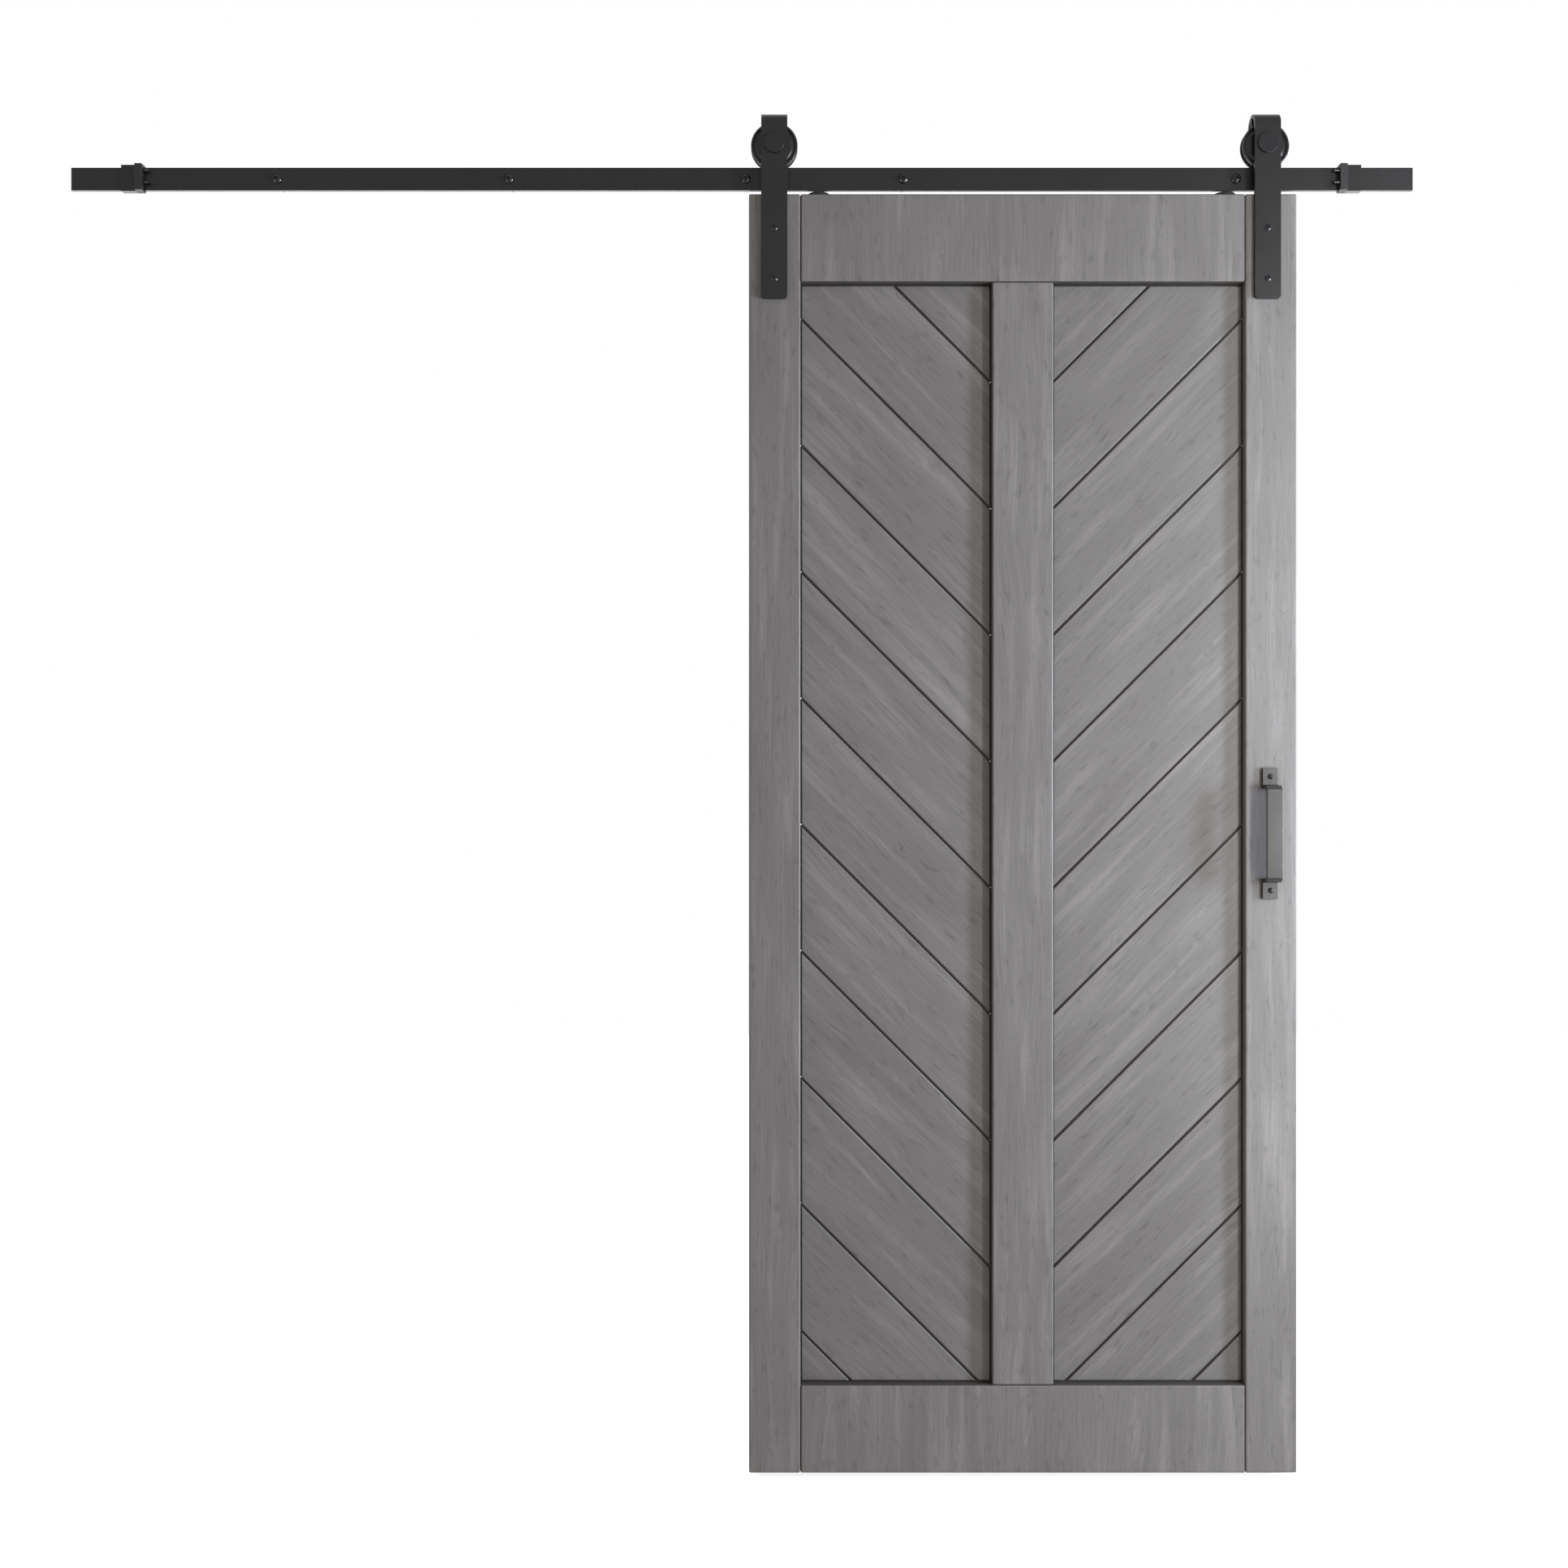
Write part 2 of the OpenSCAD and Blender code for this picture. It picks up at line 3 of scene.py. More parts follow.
import bmesh
import bpy
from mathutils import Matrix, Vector


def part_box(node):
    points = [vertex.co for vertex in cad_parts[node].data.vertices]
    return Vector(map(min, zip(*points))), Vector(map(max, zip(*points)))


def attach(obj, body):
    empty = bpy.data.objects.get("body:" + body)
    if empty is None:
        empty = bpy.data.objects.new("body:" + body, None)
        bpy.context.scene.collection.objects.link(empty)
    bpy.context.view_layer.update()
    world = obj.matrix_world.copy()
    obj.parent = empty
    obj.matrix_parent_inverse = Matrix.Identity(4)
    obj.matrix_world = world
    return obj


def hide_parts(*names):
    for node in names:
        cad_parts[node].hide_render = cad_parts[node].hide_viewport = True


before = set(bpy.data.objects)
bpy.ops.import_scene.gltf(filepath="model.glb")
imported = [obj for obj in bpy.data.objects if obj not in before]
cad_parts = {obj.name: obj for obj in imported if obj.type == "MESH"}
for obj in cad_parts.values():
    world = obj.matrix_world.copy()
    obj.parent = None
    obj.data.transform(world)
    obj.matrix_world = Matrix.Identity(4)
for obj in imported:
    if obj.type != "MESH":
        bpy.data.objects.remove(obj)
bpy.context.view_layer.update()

# ---- Track bar -------------------------------------------------------------------------------
# One flat bar of rolled steel, cut to length and drilled for five lag screws, then powder coated
# in satin black with its corners just broken. It hangs on the wall by the screws alone.

MM = 0.001
WELD = 0.01 * MM
BAR_EASE = 0.7 * MM
LAG_HOLE_R = 4.3 * MM


def use_only(piece):
    """Make one piece the only thing that the next operator acts on."""
    bpy.ops.object.select_all(action="DESELECT")
    piece.select_set(True)
    bpy.context.view_layer.objects.active = piece


def settle(name):
    """Name the primitive just added and move its place and size into its mesh."""
    piece = bpy.context.object
    piece.name = piece.data.name = name
    bpy.ops.object.transform_apply(location=True, rotation=True, scale=True)
    return piece


def add_block(name, low, high):
    """Add a cube that fills the box between two corners."""
    low, high = Vector(low), Vector(high)
    bpy.ops.object.select_all(action="DESELECT")
    bpy.ops.mesh.primitive_cube_add(size=1, location=(low + high) / 2)
    bpy.context.object.scale = high - low
    return settle(name)


def add_rod(name, radius, start, end, sides=48):
    """Add a cylinder that runs from one point to another."""
    start, end = Vector(start), Vector(end)
    along = end - start
    bpy.ops.object.select_all(action="DESELECT")
    bpy.ops.mesh.primitive_cylinder_add(
        vertices=sides, radius=radius, depth=along.length, location=(start + end) / 2,
        rotation=along.to_track_quat("Z", "Y").to_euler())
    return settle(name)


def carve(piece, cutter, operation="DIFFERENCE"):
    """Cut one piece with another and throw the cutter away."""
    use_only(piece)
    cut = piece.modifiers.new("cut", "BOOLEAN")
    cut.operation = operation
    cut.solver = "EXACT"
    cut.object = cutter
    bpy.ops.object.modifier_apply(modifier=cut.name)
    bpy.data.objects.remove(cutter, do_unlink=True)


def drill(piece, radius, start, end, sides=48):
    """Drill a round hole, or a hexagonal one with six sides, from one point to another."""
    carve(piece, add_rod("drill", radius, start, end, sides))


def soften(piece, width, segments=3, angle=30):
    """Round every edge that is sharper than the angle, and keep the flats flat to the eye."""
    use_only(piece)
    bpy.ops.object.shade_smooth()
    bpy.ops.object.mode_set(mode="EDIT")
    bpy.ops.mesh.select_all(action="SELECT")
    bpy.ops.mesh.remove_doubles(threshold=WELD)
    bpy.ops.mesh.dissolve_degenerate(threshold=WELD)
    bpy.ops.object.mode_set(mode="OBJECT")
    bevel = piece.modifiers.new("soft edges", "BEVEL")
    bevel.width = width
    bevel.segments = segments
    bevel.limit_method = "ANGLE"
    bevel.angle_limit = math.radians(angle)
    bevel.harden_normals = True
    bpy.ops.object.modifier_apply(modifier=bevel.name)


def linear(colour):
    """Turn an sRGB hex colour into the linear colour that a shader needs."""
    channels = [int(colour[i:i + 2], 16) / 255 for i in (1, 3, 5)]
    return [c / 12.92 if c <= 0.04045 else ((c + 0.055) / 1.055) ** 2.4 for c in channels] + [1]


def add_node(tree, kind, inputs=None, **settings):
    """Add one node with its settings; an input is a number, a colour or another node's socket."""
    node = tree.nodes.new("ShaderNode" + kind)
    for setting, value in settings.items():
        setattr(node, setting, value)
    for socket, value in (inputs or {}).items():
        if isinstance(value, bpy.types.NodeSocket):
            tree.links.new(value, node.inputs[socket])
        else:
            node.inputs[socket].default_value = value
    return node


def new_material(name):
    """Start an empty material; return it, its node tree and the coordinates in the frame."""
    material = bpy.data.materials.new(name)
    material.use_nodes = True
    tree = material.node_tree
    tree.nodes.clear()
    return material, tree, add_node(tree, "TexCoord").outputs["Object"]


def powder_coat(name, dark="#19191a", light="#202021", roughness=0.4, ior=1.5):
    """Baked polyester powder: an even satin skin with a fine orange peel and faint cloudiness."""
    cloud_mm = 60
    # The real peel is about 1 mm across; it is drawn at 2.5 mm so that it still shows
    peel_mm = 2.5
    material, tree, place = new_material(name)
    cloud = add_node(tree, "TexNoise", {"Vector": place, "Scale": 1 / (cloud_mm * MM), "Detail": 3})
    peel = add_node(tree, "TexNoise", {"Vector": place, "Scale": 1 / (peel_mm * MM), "Detail": 2})
    tint = add_node(tree, "MixRGB", {
        "Fac": cloud.outputs["Fac"], "Color1": linear(dark), "Color2": linear(light)})
    gloss = add_node(tree, "MapRange", {
        "Value": cloud.outputs["Fac"], "To Min": roughness - 0.05, "To Max": roughness + 0.05})
    skin = add_node(tree, "Bump", {
        "Height": peel.outputs["Fac"], "Strength": 0.25, "Distance": 0.05 * MM})
    shader = add_node(tree, "BsdfPrincipled", {
        "Base Color": tint.outputs["Color"], "Roughness": gloss.outputs["Result"],
        "Normal": skin.outputs["Normal"], "IOR": ior})
    add_node(tree, "OutputMaterial", {"Surface": shader.outputs["BSDF"]})
    return material


def finish(piece, material, body, slot, *nodes):
    """Give a new piece its finish, its body and the CAD nodes it stands for; the slot is not used.
    """
    piece.data.materials.clear()
    piece.data.materials.append(material)
    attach(piece, body)
    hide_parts(*nodes)


spacer_boxes = [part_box(f"wall_spacer_{i}") for i in range(1, 6)]
lag_x = [(low.x + high.x) / 2 for low, high in spacer_boxes]

bar_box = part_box("track_bar")
bar_front, bar_back = bar_box[0].y, bar_box[1].y
track_bar = add_block("track_flat_bar", *bar_box)
for x in lag_x:
    drill(track_bar, LAG_HOLE_R, (x, bar_front - MM, 0), (x, bar_back + MM, 0))
soften(track_bar, BAR_EASE)
track_coat = powder_coat("satin black powder coat on the track")
finish(track_bar, track_coat, "track", "track_powder_coat", "track_bar")

# ---- Wall spacers ----------------------------------------------------------------------------
# Five turned steel tubes that hold the bar off the wall, so that the wheels and the short legs
# of the hangers pass behind it. They are coated black like the bar and clamped by the screws.

FINE_WELD = 0.002 * MM
TO_FRONT = (math.radians(90), 0, 0)


def draw_line(points):
    """Shrink a plane to one vertex and draw it out along the points; this stays in edit mode."""
    bpy.ops.object.select_all(action="DESELECT")
    bpy.ops.mesh.primitive_plane_add(size=MM)
    bpy.ops.object.mode_set(mode="EDIT")
    bpy.ops.mesh.select_mode(type="VERT")
    bpy.ops.mesh.merge(type="CENTER")
    points = [Vector(point) for point in points]
    bpy.ops.transform.translate(value=points[0])
    for here, there in zip(points, points[1:]):
        bpy.ops.mesh.extrude_region_move(TRANSFORM_OT_translate={"value": there - here})
    bpy.ops.mesh.select_all(action="SELECT")


def lathe(name, profile, place, turn=TO_FRONT, steps=64):
    """Turn an outline of (radius, height) points round an axis; it is closed or ends in poles."""
    closed = profile[0][0] > 0
    draw_line([(radius, 0, height) for radius, height in profile + profile[:1] * closed])
    bpy.ops.mesh.spin(steps=steps, angle=math.tau, center=(0, 0, 0), axis=(0, 0, 1))
    bpy.ops.mesh.select_all(action="SELECT")
    bpy.ops.mesh.remove_doubles(threshold=FINE_WELD)
    bpy.ops.mesh.normals_make_consistent(inside=False)
    bpy.ops.object.mode_set(mode="OBJECT")
    bpy.context.object.location = place
    bpy.context.object.rotation_euler = turn
    return settle(name)


def copy_to(piece, name, shift):
    """Copy a piece with a mesh of its own and shift that mesh."""
    twin = piece.copy()
    twin.data = piece.data.copy()
    bpy.context.collection.objects.link(twin)
    twin.location = shift
    use_only(twin)
    return settle(name)


SPACER_EASE = 2 * MM
SPACER_RIM_R = 0.6 * MM
spacer_low, spacer_high = spacer_boxes[0]
spacer_r = (spacer_high.x - spacer_low.x) / 2
wall_gap = spacer_high.y - spacer_low.y
spacer_coat = powder_coat("satin black powder coat on the spacers", roughness=0.42)
first_spacer = lathe("spacer_tube_1", [
    (LAG_HOLE_R, 0), (spacer_r - SPACER_EASE, 0), (spacer_r, SPACER_EASE * 1.5),
    (spacer_r, wall_gap), (LAG_HOLE_R, wall_gap),
], (lag_x[0], 0, 0), steps=48)
soften(first_spacer, SPACER_RIM_R, 2)
for i, x in enumerate(lag_x):
    tube = first_spacer
    if i:
        tube = copy_to(first_spacer, f"spacer_tube_{i + 1}", (x - lag_x[0], 0, 0))
    finish(tube, spacer_coat, "track", "track_powder_coat", f"wall_spacer_{i + 1}")

# ---- Lag screws ------------------------------------------------------------------------------
# Cold-headed steel wood screws with a low domed head and a hexagon socket, blackened in hot
# oxide. The thread is rolled, coarse and sharp, and runs out into a gimlet point in the wall.

LAG_HEAD_R = 8 * MM
LAG_HEAD_H = 5.5 * MM
LAG_RIM = 1.2 * MM
LAG_SOCKET_R = 2.9 * MM
LAG_SOCKET_DEPTH = 3 * MM
LAG_SHANK_R = 3.7 * MM
LAG_ROOT_R = 2.9 * MM
LAG_CREST_R = 4 * MM
LAG_PITCH = 3.5 * MM
LAG_POINT = 11 * MM
LAG_EDGE_R = 0.25 * MM


def black_oxide(name, roughness=0.2):
    """Blackened steel: deep neutral black with an oily satin sheen that varies in soft patches."""
    patch_mm = 5
    drawn_mm = 0.9
    material, tree, place = new_material(name)
    patch = add_node(tree, "TexNoise", {"Vector": place, "Scale": 1 / (patch_mm * MM), "Detail": 4})
    drawn = add_node(tree, "TexNoise", {"Vector": place, "Scale": 1 / (drawn_mm * MM), "Detail": 2})
    tint = add_node(tree, "MixRGB", {
        "Fac": patch.outputs["Fac"], "Color1": linear("#363637"), "Color2": linear("#454446")})
    gloss = add_node(tree, "MapRange", {
        "Value": patch.outputs["Fac"], "To Min": roughness - 0.08, "To Max": roughness + 0.08})
    skin = add_node(tree, "Bump", {
        "Height": drawn.outputs["Fac"], "Strength": 0.15, "Distance": 0.03 * MM})
    shader = add_node(tree, "BsdfPrincipled", {
        "Base Color": tint.outputs["Color"], "Roughness": gloss.outputs["Result"],
        "Metallic": 0.85, "Normal": skin.outputs["Normal"]})
    add_node(tree, "OutputMaterial", {"Surface": shader.outputs["BSDF"]})
    return material


def dome(head_r, head_h, rim_h, steps=10):
    """Outline of a domed head from its rim to its pole, with the head's seat at height 0."""
    rise = head_h - rim_h
    ball_r = (head_r ** 2 + rise ** 2) / (2 * rise)
    reach = math.asin(head_r / ball_r)
    angles = [reach * (1 - i / steps) for i in range(steps)]
    arc = [(ball_r * math.sin(a), head_h - ball_r * (1 - math.cos(a))) for a in angles]
    return [(head_r, 0)] + arc + [(0, head_h)]


def hex_socket(piece, place, radius, depth):
    """Sink a hexagon socket into a head whose top is at the given place, facing the front."""
    x, y, z = place
    drill(piece, radius, (x, y - MM, z), (x, y + depth, z), sides=6)


def wood_thread(name, place, length):
    """Roll a coarse thread that starts at a place, runs towards the back and ends in a point."""
    turns = int(length / LAG_PITCH)
    one_turn = [(LAG_ROOT_R, 0), (LAG_ROOT_R, 0.45), (LAG_CREST_R, 0.68), (LAG_CREST_R, 0.77)]
    draw_line([(radius, 0, (turn + part) * LAG_PITCH)
               for turn in range(turns) for radius, part in one_turn]
              + [(LAG_ROOT_R, 0, turns * LAG_PITCH)])
    bpy.ops.object.mode_set(mode="OBJECT")
    thread = bpy.context.object
    screw = thread.modifiers.new("thread", "SCREW")
    screw.screw_offset = LAG_PITCH
    screw.steps = screw.render_steps = 24
    bpy.ops.object.modifier_apply(modifier=screw.name)
    bpy.ops.object.mode_set(mode="EDIT")
    bpy.ops.mesh.select_all(action="SELECT")
    bpy.ops.mesh.remove_doubles(threshold=WELD)
    bpy.ops.mesh.select_all(action="DESELECT")
    bpy.ops.mesh.select_mode(type="EDGE")
    bpy.ops.mesh.select_non_manifold()
    bpy.ops.mesh.fill(use_beauty=True)
    bpy.ops.mesh.select_all(action="SELECT")
    bpy.ops.mesh.normals_make_consistent(inside=False)
    bpy.ops.object.mode_set(mode="OBJECT")
    top = (turns + 1) * LAG_PITCH
    for vertex in thread.data.vertices:
        vertex.co.z = min(vertex.co.z, length)
        left = (top - vertex.co.z) / LAG_POINT
        narrow = max(0.06, min(1, left))
        vertex.co.x *= narrow
        vertex.co.y *= narrow
    thread.location = place
    thread.rotation_euler = (math.radians(-90), 0, 0)
    return settle(name)


lag_oxide = black_oxide("black oxide on the lag screws")
lag_tip_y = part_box("lag_screws")[1].y
thread_start = 2 * LAG_PITCH
head_seat = -bar_front
first_lag = lathe("lag_screw_1", [
    (0, -thread_start), (LAG_ROOT_R, -thread_start), (LAG_SHANK_R, -thread_start + MM),
    (LAG_SHANK_R, head_seat)
] + [(r, head_seat + h) for r, h in dome(LAG_HEAD_R, LAG_HEAD_H, LAG_RIM)], (lag_x[0], 0, 0))
hex_socket(first_lag, (lag_x[0], bar_front - LAG_HEAD_H, 0), LAG_SOCKET_R, LAG_SOCKET_DEPTH)
soften(first_lag, LAG_EDGE_R, 2)
lag_thread = wood_thread("thread", (lag_x[0], 0, 0), lag_tip_y)
bpy.ops.object.shade_smooth_by_angle(angle=math.radians(25))
use_only(lag_thread)
first_lag.select_set(True)
bpy.context.view_layer.objects.active = first_lag
bpy.ops.object.join()
for i, x in enumerate(lag_x):
    screw = first_lag
    if i:
        screw = copy_to(first_lag, f"lag_screw_{i + 1}", (x - lag_x[0], 0, 0))
    finish(screw, lag_oxide, "track", "black_oxide_steel", "lag_screws")

# ---- End stops -------------------------------------------------------------------------------
# Each end of the track carries a coated steel clamp block and, on its inner side, a thicker
# block of moulded rubber with two dark steel pins. Both slide on from the end of the bar and
# are locked by a set screw in the back.

STOP_EASE = 0.9 * MM
STOP_SLOT_GAP = 0.15 * MM
PIN_HELD = 10 * MM
PIN_OUT = 9.5 * MM
PIN_TIP = 1.1 * MM
SET_SCREW_R = 2.5 * MM


def stop_block(name, node, bar):
    """Block as large as its CAD node, with a slot for the bar and a tapped hole in its back."""
    low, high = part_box(node)
    block = add_block(name, low, high)
    gap = Vector((0, STOP_SLOT_GAP, STOP_SLOT_GAP))
    slot_low = Vector((low.x - MM, bar[0].y, bar[0].z)) - gap
    slot_high = Vector((high.x + MM, bar[1].y, bar[1].z)) + gap
    carve(block, add_block("slot", slot_low, slot_high))
    middle = (low.x + high.x) / 2
    drill(block, SET_SCREW_R, (middle, bar[1].y, 0), (middle, high.y + MM, 0), sides=32)
    soften(block, STOP_EASE)
    return block


def moulded_rubber(name):
    """Moulded EPDM rubber: matte charcoal with a fine spark-eroded grit and a dusty bloom."""
    # The mould's grit is about 0.3 mm; it is drawn at 1.2 mm so that it still shows
    grit_mm = 1.2
    bloom_mm = 18
    material, tree, place = new_material(name)
    grit = add_node(tree, "TexNoise", {"Vector": place, "Scale": 1 / (grit_mm * MM), "Detail": 3})
    bloom = add_node(tree, "TexNoise", {"Vector": place, "Scale": 1 / (bloom_mm * MM), "Detail": 2})
    tint = add_node(tree, "MixRGB", {
        "Fac": bloom.outputs["Fac"], "Color1": linear("#1f1f20"), "Color2": linear("#2b2a2c")})
    skin = add_node(tree, "Bump", {
        "Height": grit.outputs["Fac"], "Strength": 0.3, "Distance": 0.06 * MM})
    shader = add_node(tree, "BsdfPrincipled", {
        "Base Color": tint.outputs["Color"], "Roughness": 0.55, "IOR": 1.5,
        "Normal": skin.outputs["Normal"]})
    add_node(tree, "OutputMaterial", {"Surface": shader.outputs["BSDF"]})
    return material


def zinc_steel(name, dark="#a9adb2", light="#d3d5d8", roughness=0.22):
    """Plated steel: bright zinc, slightly blue, or a darker plate, with faint cloudy crystals."""
    crystal_mm = 3
    material, tree, place = new_material(name)
    crystal = add_node(tree, "TexNoise", {
        "Vector": place, "Scale": 1 / (crystal_mm * MM), "Detail": 4, "Distortion": 0.4})
    tint = add_node(tree, "MixRGB", {
        "Fac": crystal.outputs["Fac"], "Color1": linear(dark), "Color2": linear(light)})
    gloss = add_node(tree, "MapRange", {
        "Value": crystal.outputs["Fac"], "To Min": roughness - 0.06, "To Max": roughness + 0.08})
    skin = add_node(tree, "Bump", {
        "Height": crystal.outputs["Fac"], "Strength": 0.1, "Distance": 0.02 * MM})
    shader = add_node(tree, "BsdfPrincipled", {
        "Base Color": tint.outputs["Color"], "Roughness": gloss.outputs["Result"],
        "Metallic": 1, "Normal": skin.outputs["Normal"]})
    add_node(tree, "OutputMaterial", {"Surface": shader.outputs["BSDF"]})
    return material


def wear_cad_node(node, material):
    """Give a CAD node that stays its finish."""
    shape = bpy.data.objects[node]
    shape.data.materials.clear()
    shape.data.materials.append(material)


stop_coat = powder_coat("satin black powder coat on the end stops", roughness=0.38)
stop_rubber = moulded_rubber("moulded EPDM rubber")
pin_steel = zinc_steel("dulled nickel on the stop pins", "#333437", "#4c4e51", 0.3)
for side in ("left", "right"):
    clamp = stop_block(f"{side}_clamp_block", f"{side}_stop_clamp", bar_box)
    finish(clamp, stop_coat, "track", "stop_powder_coat", f"{side}_stop_clamp")
    bumper = stop_block(f"{side}_bumper_block", f"{side}_stop_bumper", bar_box)
    low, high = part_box(f"{side}_stop_bumper")
    pins_low, pins_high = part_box("bumper_pins")
    pin_y = (pins_low.y + pins_high.y) / 2
    pin_r = (pins_high.y - pins_low.y) / 2
    for place, z in (("upper", pins_high.z - pin_r), ("lower", pins_low.z + pin_r)):
        if side == "left":
            root, tip = high.x - PIN_HELD, high.x + PIN_OUT
        else:
            root, tip = low.x + PIN_HELD, low.x - PIN_OUT
        drill(bumper, pin_r, (root, pin_y, z), (tip, pin_y, z), sides=32)
        pin = add_rod(f"{side}_{place}_stop_pin", pin_r, (root, pin_y, z), (tip, pin_y, z), 40)
        soften(pin, PIN_TIP, 4)
        finish(pin, pin_steel, "track", "zinc_steel", "bumper_pins")
    finish(bumper, stop_rubber, "track", "bumper_rubber", f"{side}_stop_bumper")
wear_cad_node("stop_set_screws", zinc_steel("bright zinc on the set screws"))

# ---- Door frame ------------------------------------------------------------------------------
# Two stiles, two rails and a middle stile, each a pine core wrapped in grey oak-grain laminate
# whose grain runs upright on every timber. The edges are rounded before the wrap, so the butt
# joints show as fine grooves; a dark brown painted shade on the rails' rounded ends and on the
# faces turned into the openings darkens the joints and recesses. Inside, a groove holds the
# planks and dowels hold the joints.

FRAME_EDGE_R = 3.2 * MM
GROOVE_EXTRA = 0.5 * MM
TONGUE_SLACK = 0.1 * MM
TONGUE_T = 7 * MM
DOWEL_R = 5 * MM
DOWEL_DEPTH = 28 * MM
RAIL_DROPS = [40 * MM, 107 * MM]


def grey_oak_laminate(name, tilt, shift, shade, shaded_facing, core):
    """Printed grey oak: fine lines that flow into arches, pale streaks, dark flecks, small knots.

    The grain runs up the piece, or leans by the tilt, and the shift picks a fresh part of the
    log. A dark brown painted shade takes the laminate's place on faces along the shaded
    direction and in the board's core, up to the given distance from its middle plane; it
    stands for the shade in the joints, seams and recesses.
    """
    # The real pores are 0.3 mm wide; the lines are drawn 2.4 mm apart so that they still show
    line_mm = 2.4
    material, tree, place = new_material(name)
    board = add_node(tree, "Mapping", {
        "Vector": place, "Rotation": (0, tilt, 0), "Location": shift}).outputs["Vector"]
    count = add_node(tree, "VectorMath", {0: board, 1: (1, 1, 0)},
                     operation="DOT_PRODUCT").outputs["Value"]
    # A slow figure and small eyes push the lines aside, so that they flow and close into arches
    for across_mm, along_mm, low, high, push_mm in (
            (62, 420, 0, 1, 60), (24, 52, 0.6, 0.82, 10)):
        stretch = add_node(tree, "Mapping", {"Vector": board, "Scale": (
            1 / (across_mm * MM), 1 / (across_mm * MM), 1 / (along_mm * MM))})
        figure = add_node(tree, "TexNoise", {
            "Vector": stretch.outputs["Vector"], "Scale": 1, "Detail": 1.2})
        push = add_node(tree, "MapRange", {
            "Value": figure.outputs["Fac"], "From Min": low, "From Max": high,
            "To Max": push_mm * MM}, interpolation_type="SMOOTHSTEP" if low else "LINEAR")
        count = add_node(tree, "Math", {0: count, 1: push.outputs["Result"]}).outputs[0]
    along = add_node(tree, "SeparateXYZ", {0: board}).outputs["Z"]
    flow = add_node(tree, "CombineXYZ", {"X": count, "Z": along}).outputs["Vector"]
    # Lines, fibres, pale streaks, dark flecks, broad patches and knots, laid over each other
    tone = 0.01
    for laid_on, across_mm, along_mm, low, high, weight in (
            (flow, line_mm, 210, 0, 1, 0.38), (flow, 1.6, 45, 0, 1, 0.26),
            (board, 18, 230, 0.5, 0.75, 0.19), (flow, 7, 34, 0.58, 0.78, -0.24),
            (board, 85, 300, 0, 1, 0.28), (board, 7, 11, 0.87, 0.9, -0.45)):
        stretch = add_node(tree, "Mapping", {"Vector": laid_on, "Scale": (
            1 / (across_mm * MM), 1 / (across_mm * MM), 1 / (along_mm * MM))})
        grain = add_node(tree, "TexNoise", {
            "Vector": stretch.outputs["Vector"], "Scale": 1, "Detail": 1.5})
        amount = add_node(tree, "MapRange", {
            "Value": grain.outputs["Fac"], "From Min": low, "From Max": high})
        tone = add_node(tree, "Math", {0: amount.outputs["Result"], 1: weight, 2: tone},
                        operation="MULTIPLY_ADD").outputs[0]
    tint = add_node(tree, "ValToRGB", {"Fac": tone})
    ramp = tint.color_ramp
    ramp.elements.new(0.5)
    for stop, (position, colour) in zip(ramp.elements, (
            (0.12, "#5d5b5a"), (0.5, "#777675"), (0.88, "#929190"))):
        stop.position = position
        stop.color = [channel * shade for channel in linear(colour)[:3]] + [1]
    # Mask of the painted shade: faces along the shaded direction, and the board's core
    facing = add_node(tree, "TexCoord").outputs["Normal"]
    facing = add_node(tree, "VectorMath", {0: facing}, operation="ABSOLUTE").outputs["Vector"]
    facing = add_node(tree, "VectorMath", {0: facing, 1: shaded_facing}, operation="DOT_PRODUCT")
    edge = add_node(tree, "MapRange", {
        "Value": facing.outputs["Value"], "From Min": 0.86, "From Max": 0.97})
    depth = add_node(tree, "SeparateXYZ", {0: place}).outputs["Y"]
    inside = add_node(tree, "Math", {0: depth, 1: door_middle, 2: core}, operation="COMPARE")
    painted_shade = add_node(tree, "Math", {0: edge.outputs["Result"], 1: inside.outputs[0]},
                    operation="MAXIMUM")
    # Dark brown painted shade in place of the laminate, for the shade in joints, seams and recesses
    coat = add_node(tree, "MixRGB", {
        "Fac": painted_shade.outputs[0], "Color1": tint.outputs["Color"], "Color2": linear("#474442")})
    gloss = add_node(tree, "MapRange", {"Value": tone, "To Min": 0.5, "To Max": 0.4})
    skin = add_node(tree, "Bump", {"Height": tone, "Strength": 0.3, "Distance": 0.2 * MM})
    shader = add_node(tree, "BsdfPrincipled", {
        "Base Color": coat.outputs["Color"], "Roughness": gloss.outputs["Result"],
        "IOR": 1.45, "Normal": skin.outputs["Normal"]})
    add_node(tree, "OutputMaterial", {"Surface": shader.outputs["BSDF"]})
    return material


left_box, right_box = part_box("left_stile"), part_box("right_stile")
mid_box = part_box("middle_stile")
top_box, bottom_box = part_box("top_rail"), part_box("bottom_rail")
door_front, door_back = left_box[0].y, left_box[1].y
door_middle = (door_front + door_back) / 2
opening_top, opening_bottom = mid_box[1].z, mid_box[0].z
openings = [(left_box[1].x, mid_box[0].x), (mid_box[1].x, right_box[0].x)]
plank_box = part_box("left_plank_5")
tongue_len = openings[0][0] - plank_box[0].x
dowels = [((x - DOWEL_DEPTH, door_middle, top - drop), (x + DOWEL_DEPTH, door_middle, top - drop))
          for x in (left_box[1].x, right_box[0].x)
          for top in (top_box[1].z, bottom_box[1].z) for drop in RAIL_DROPS]
mid_x = (mid_box[0].x + mid_box[1].x) / 2
quarter = (mid_box[1].x - mid_box[0].x) / 4
dowels += [((mid_x + dx, door_middle, z - DOWEL_DEPTH), (mid_x + dx, door_middle, z + DOWEL_DEPTH))
           for dx in (-quarter, quarter) for z in (opening_top, opening_bottom)]


def near(box, start, end):
    """Tell whether a run between two points meets a timber's box."""
    return all(min(a, b) < high and max(a, b) > low
               for low, high, a, b in zip(box[0], box[1], start, end))
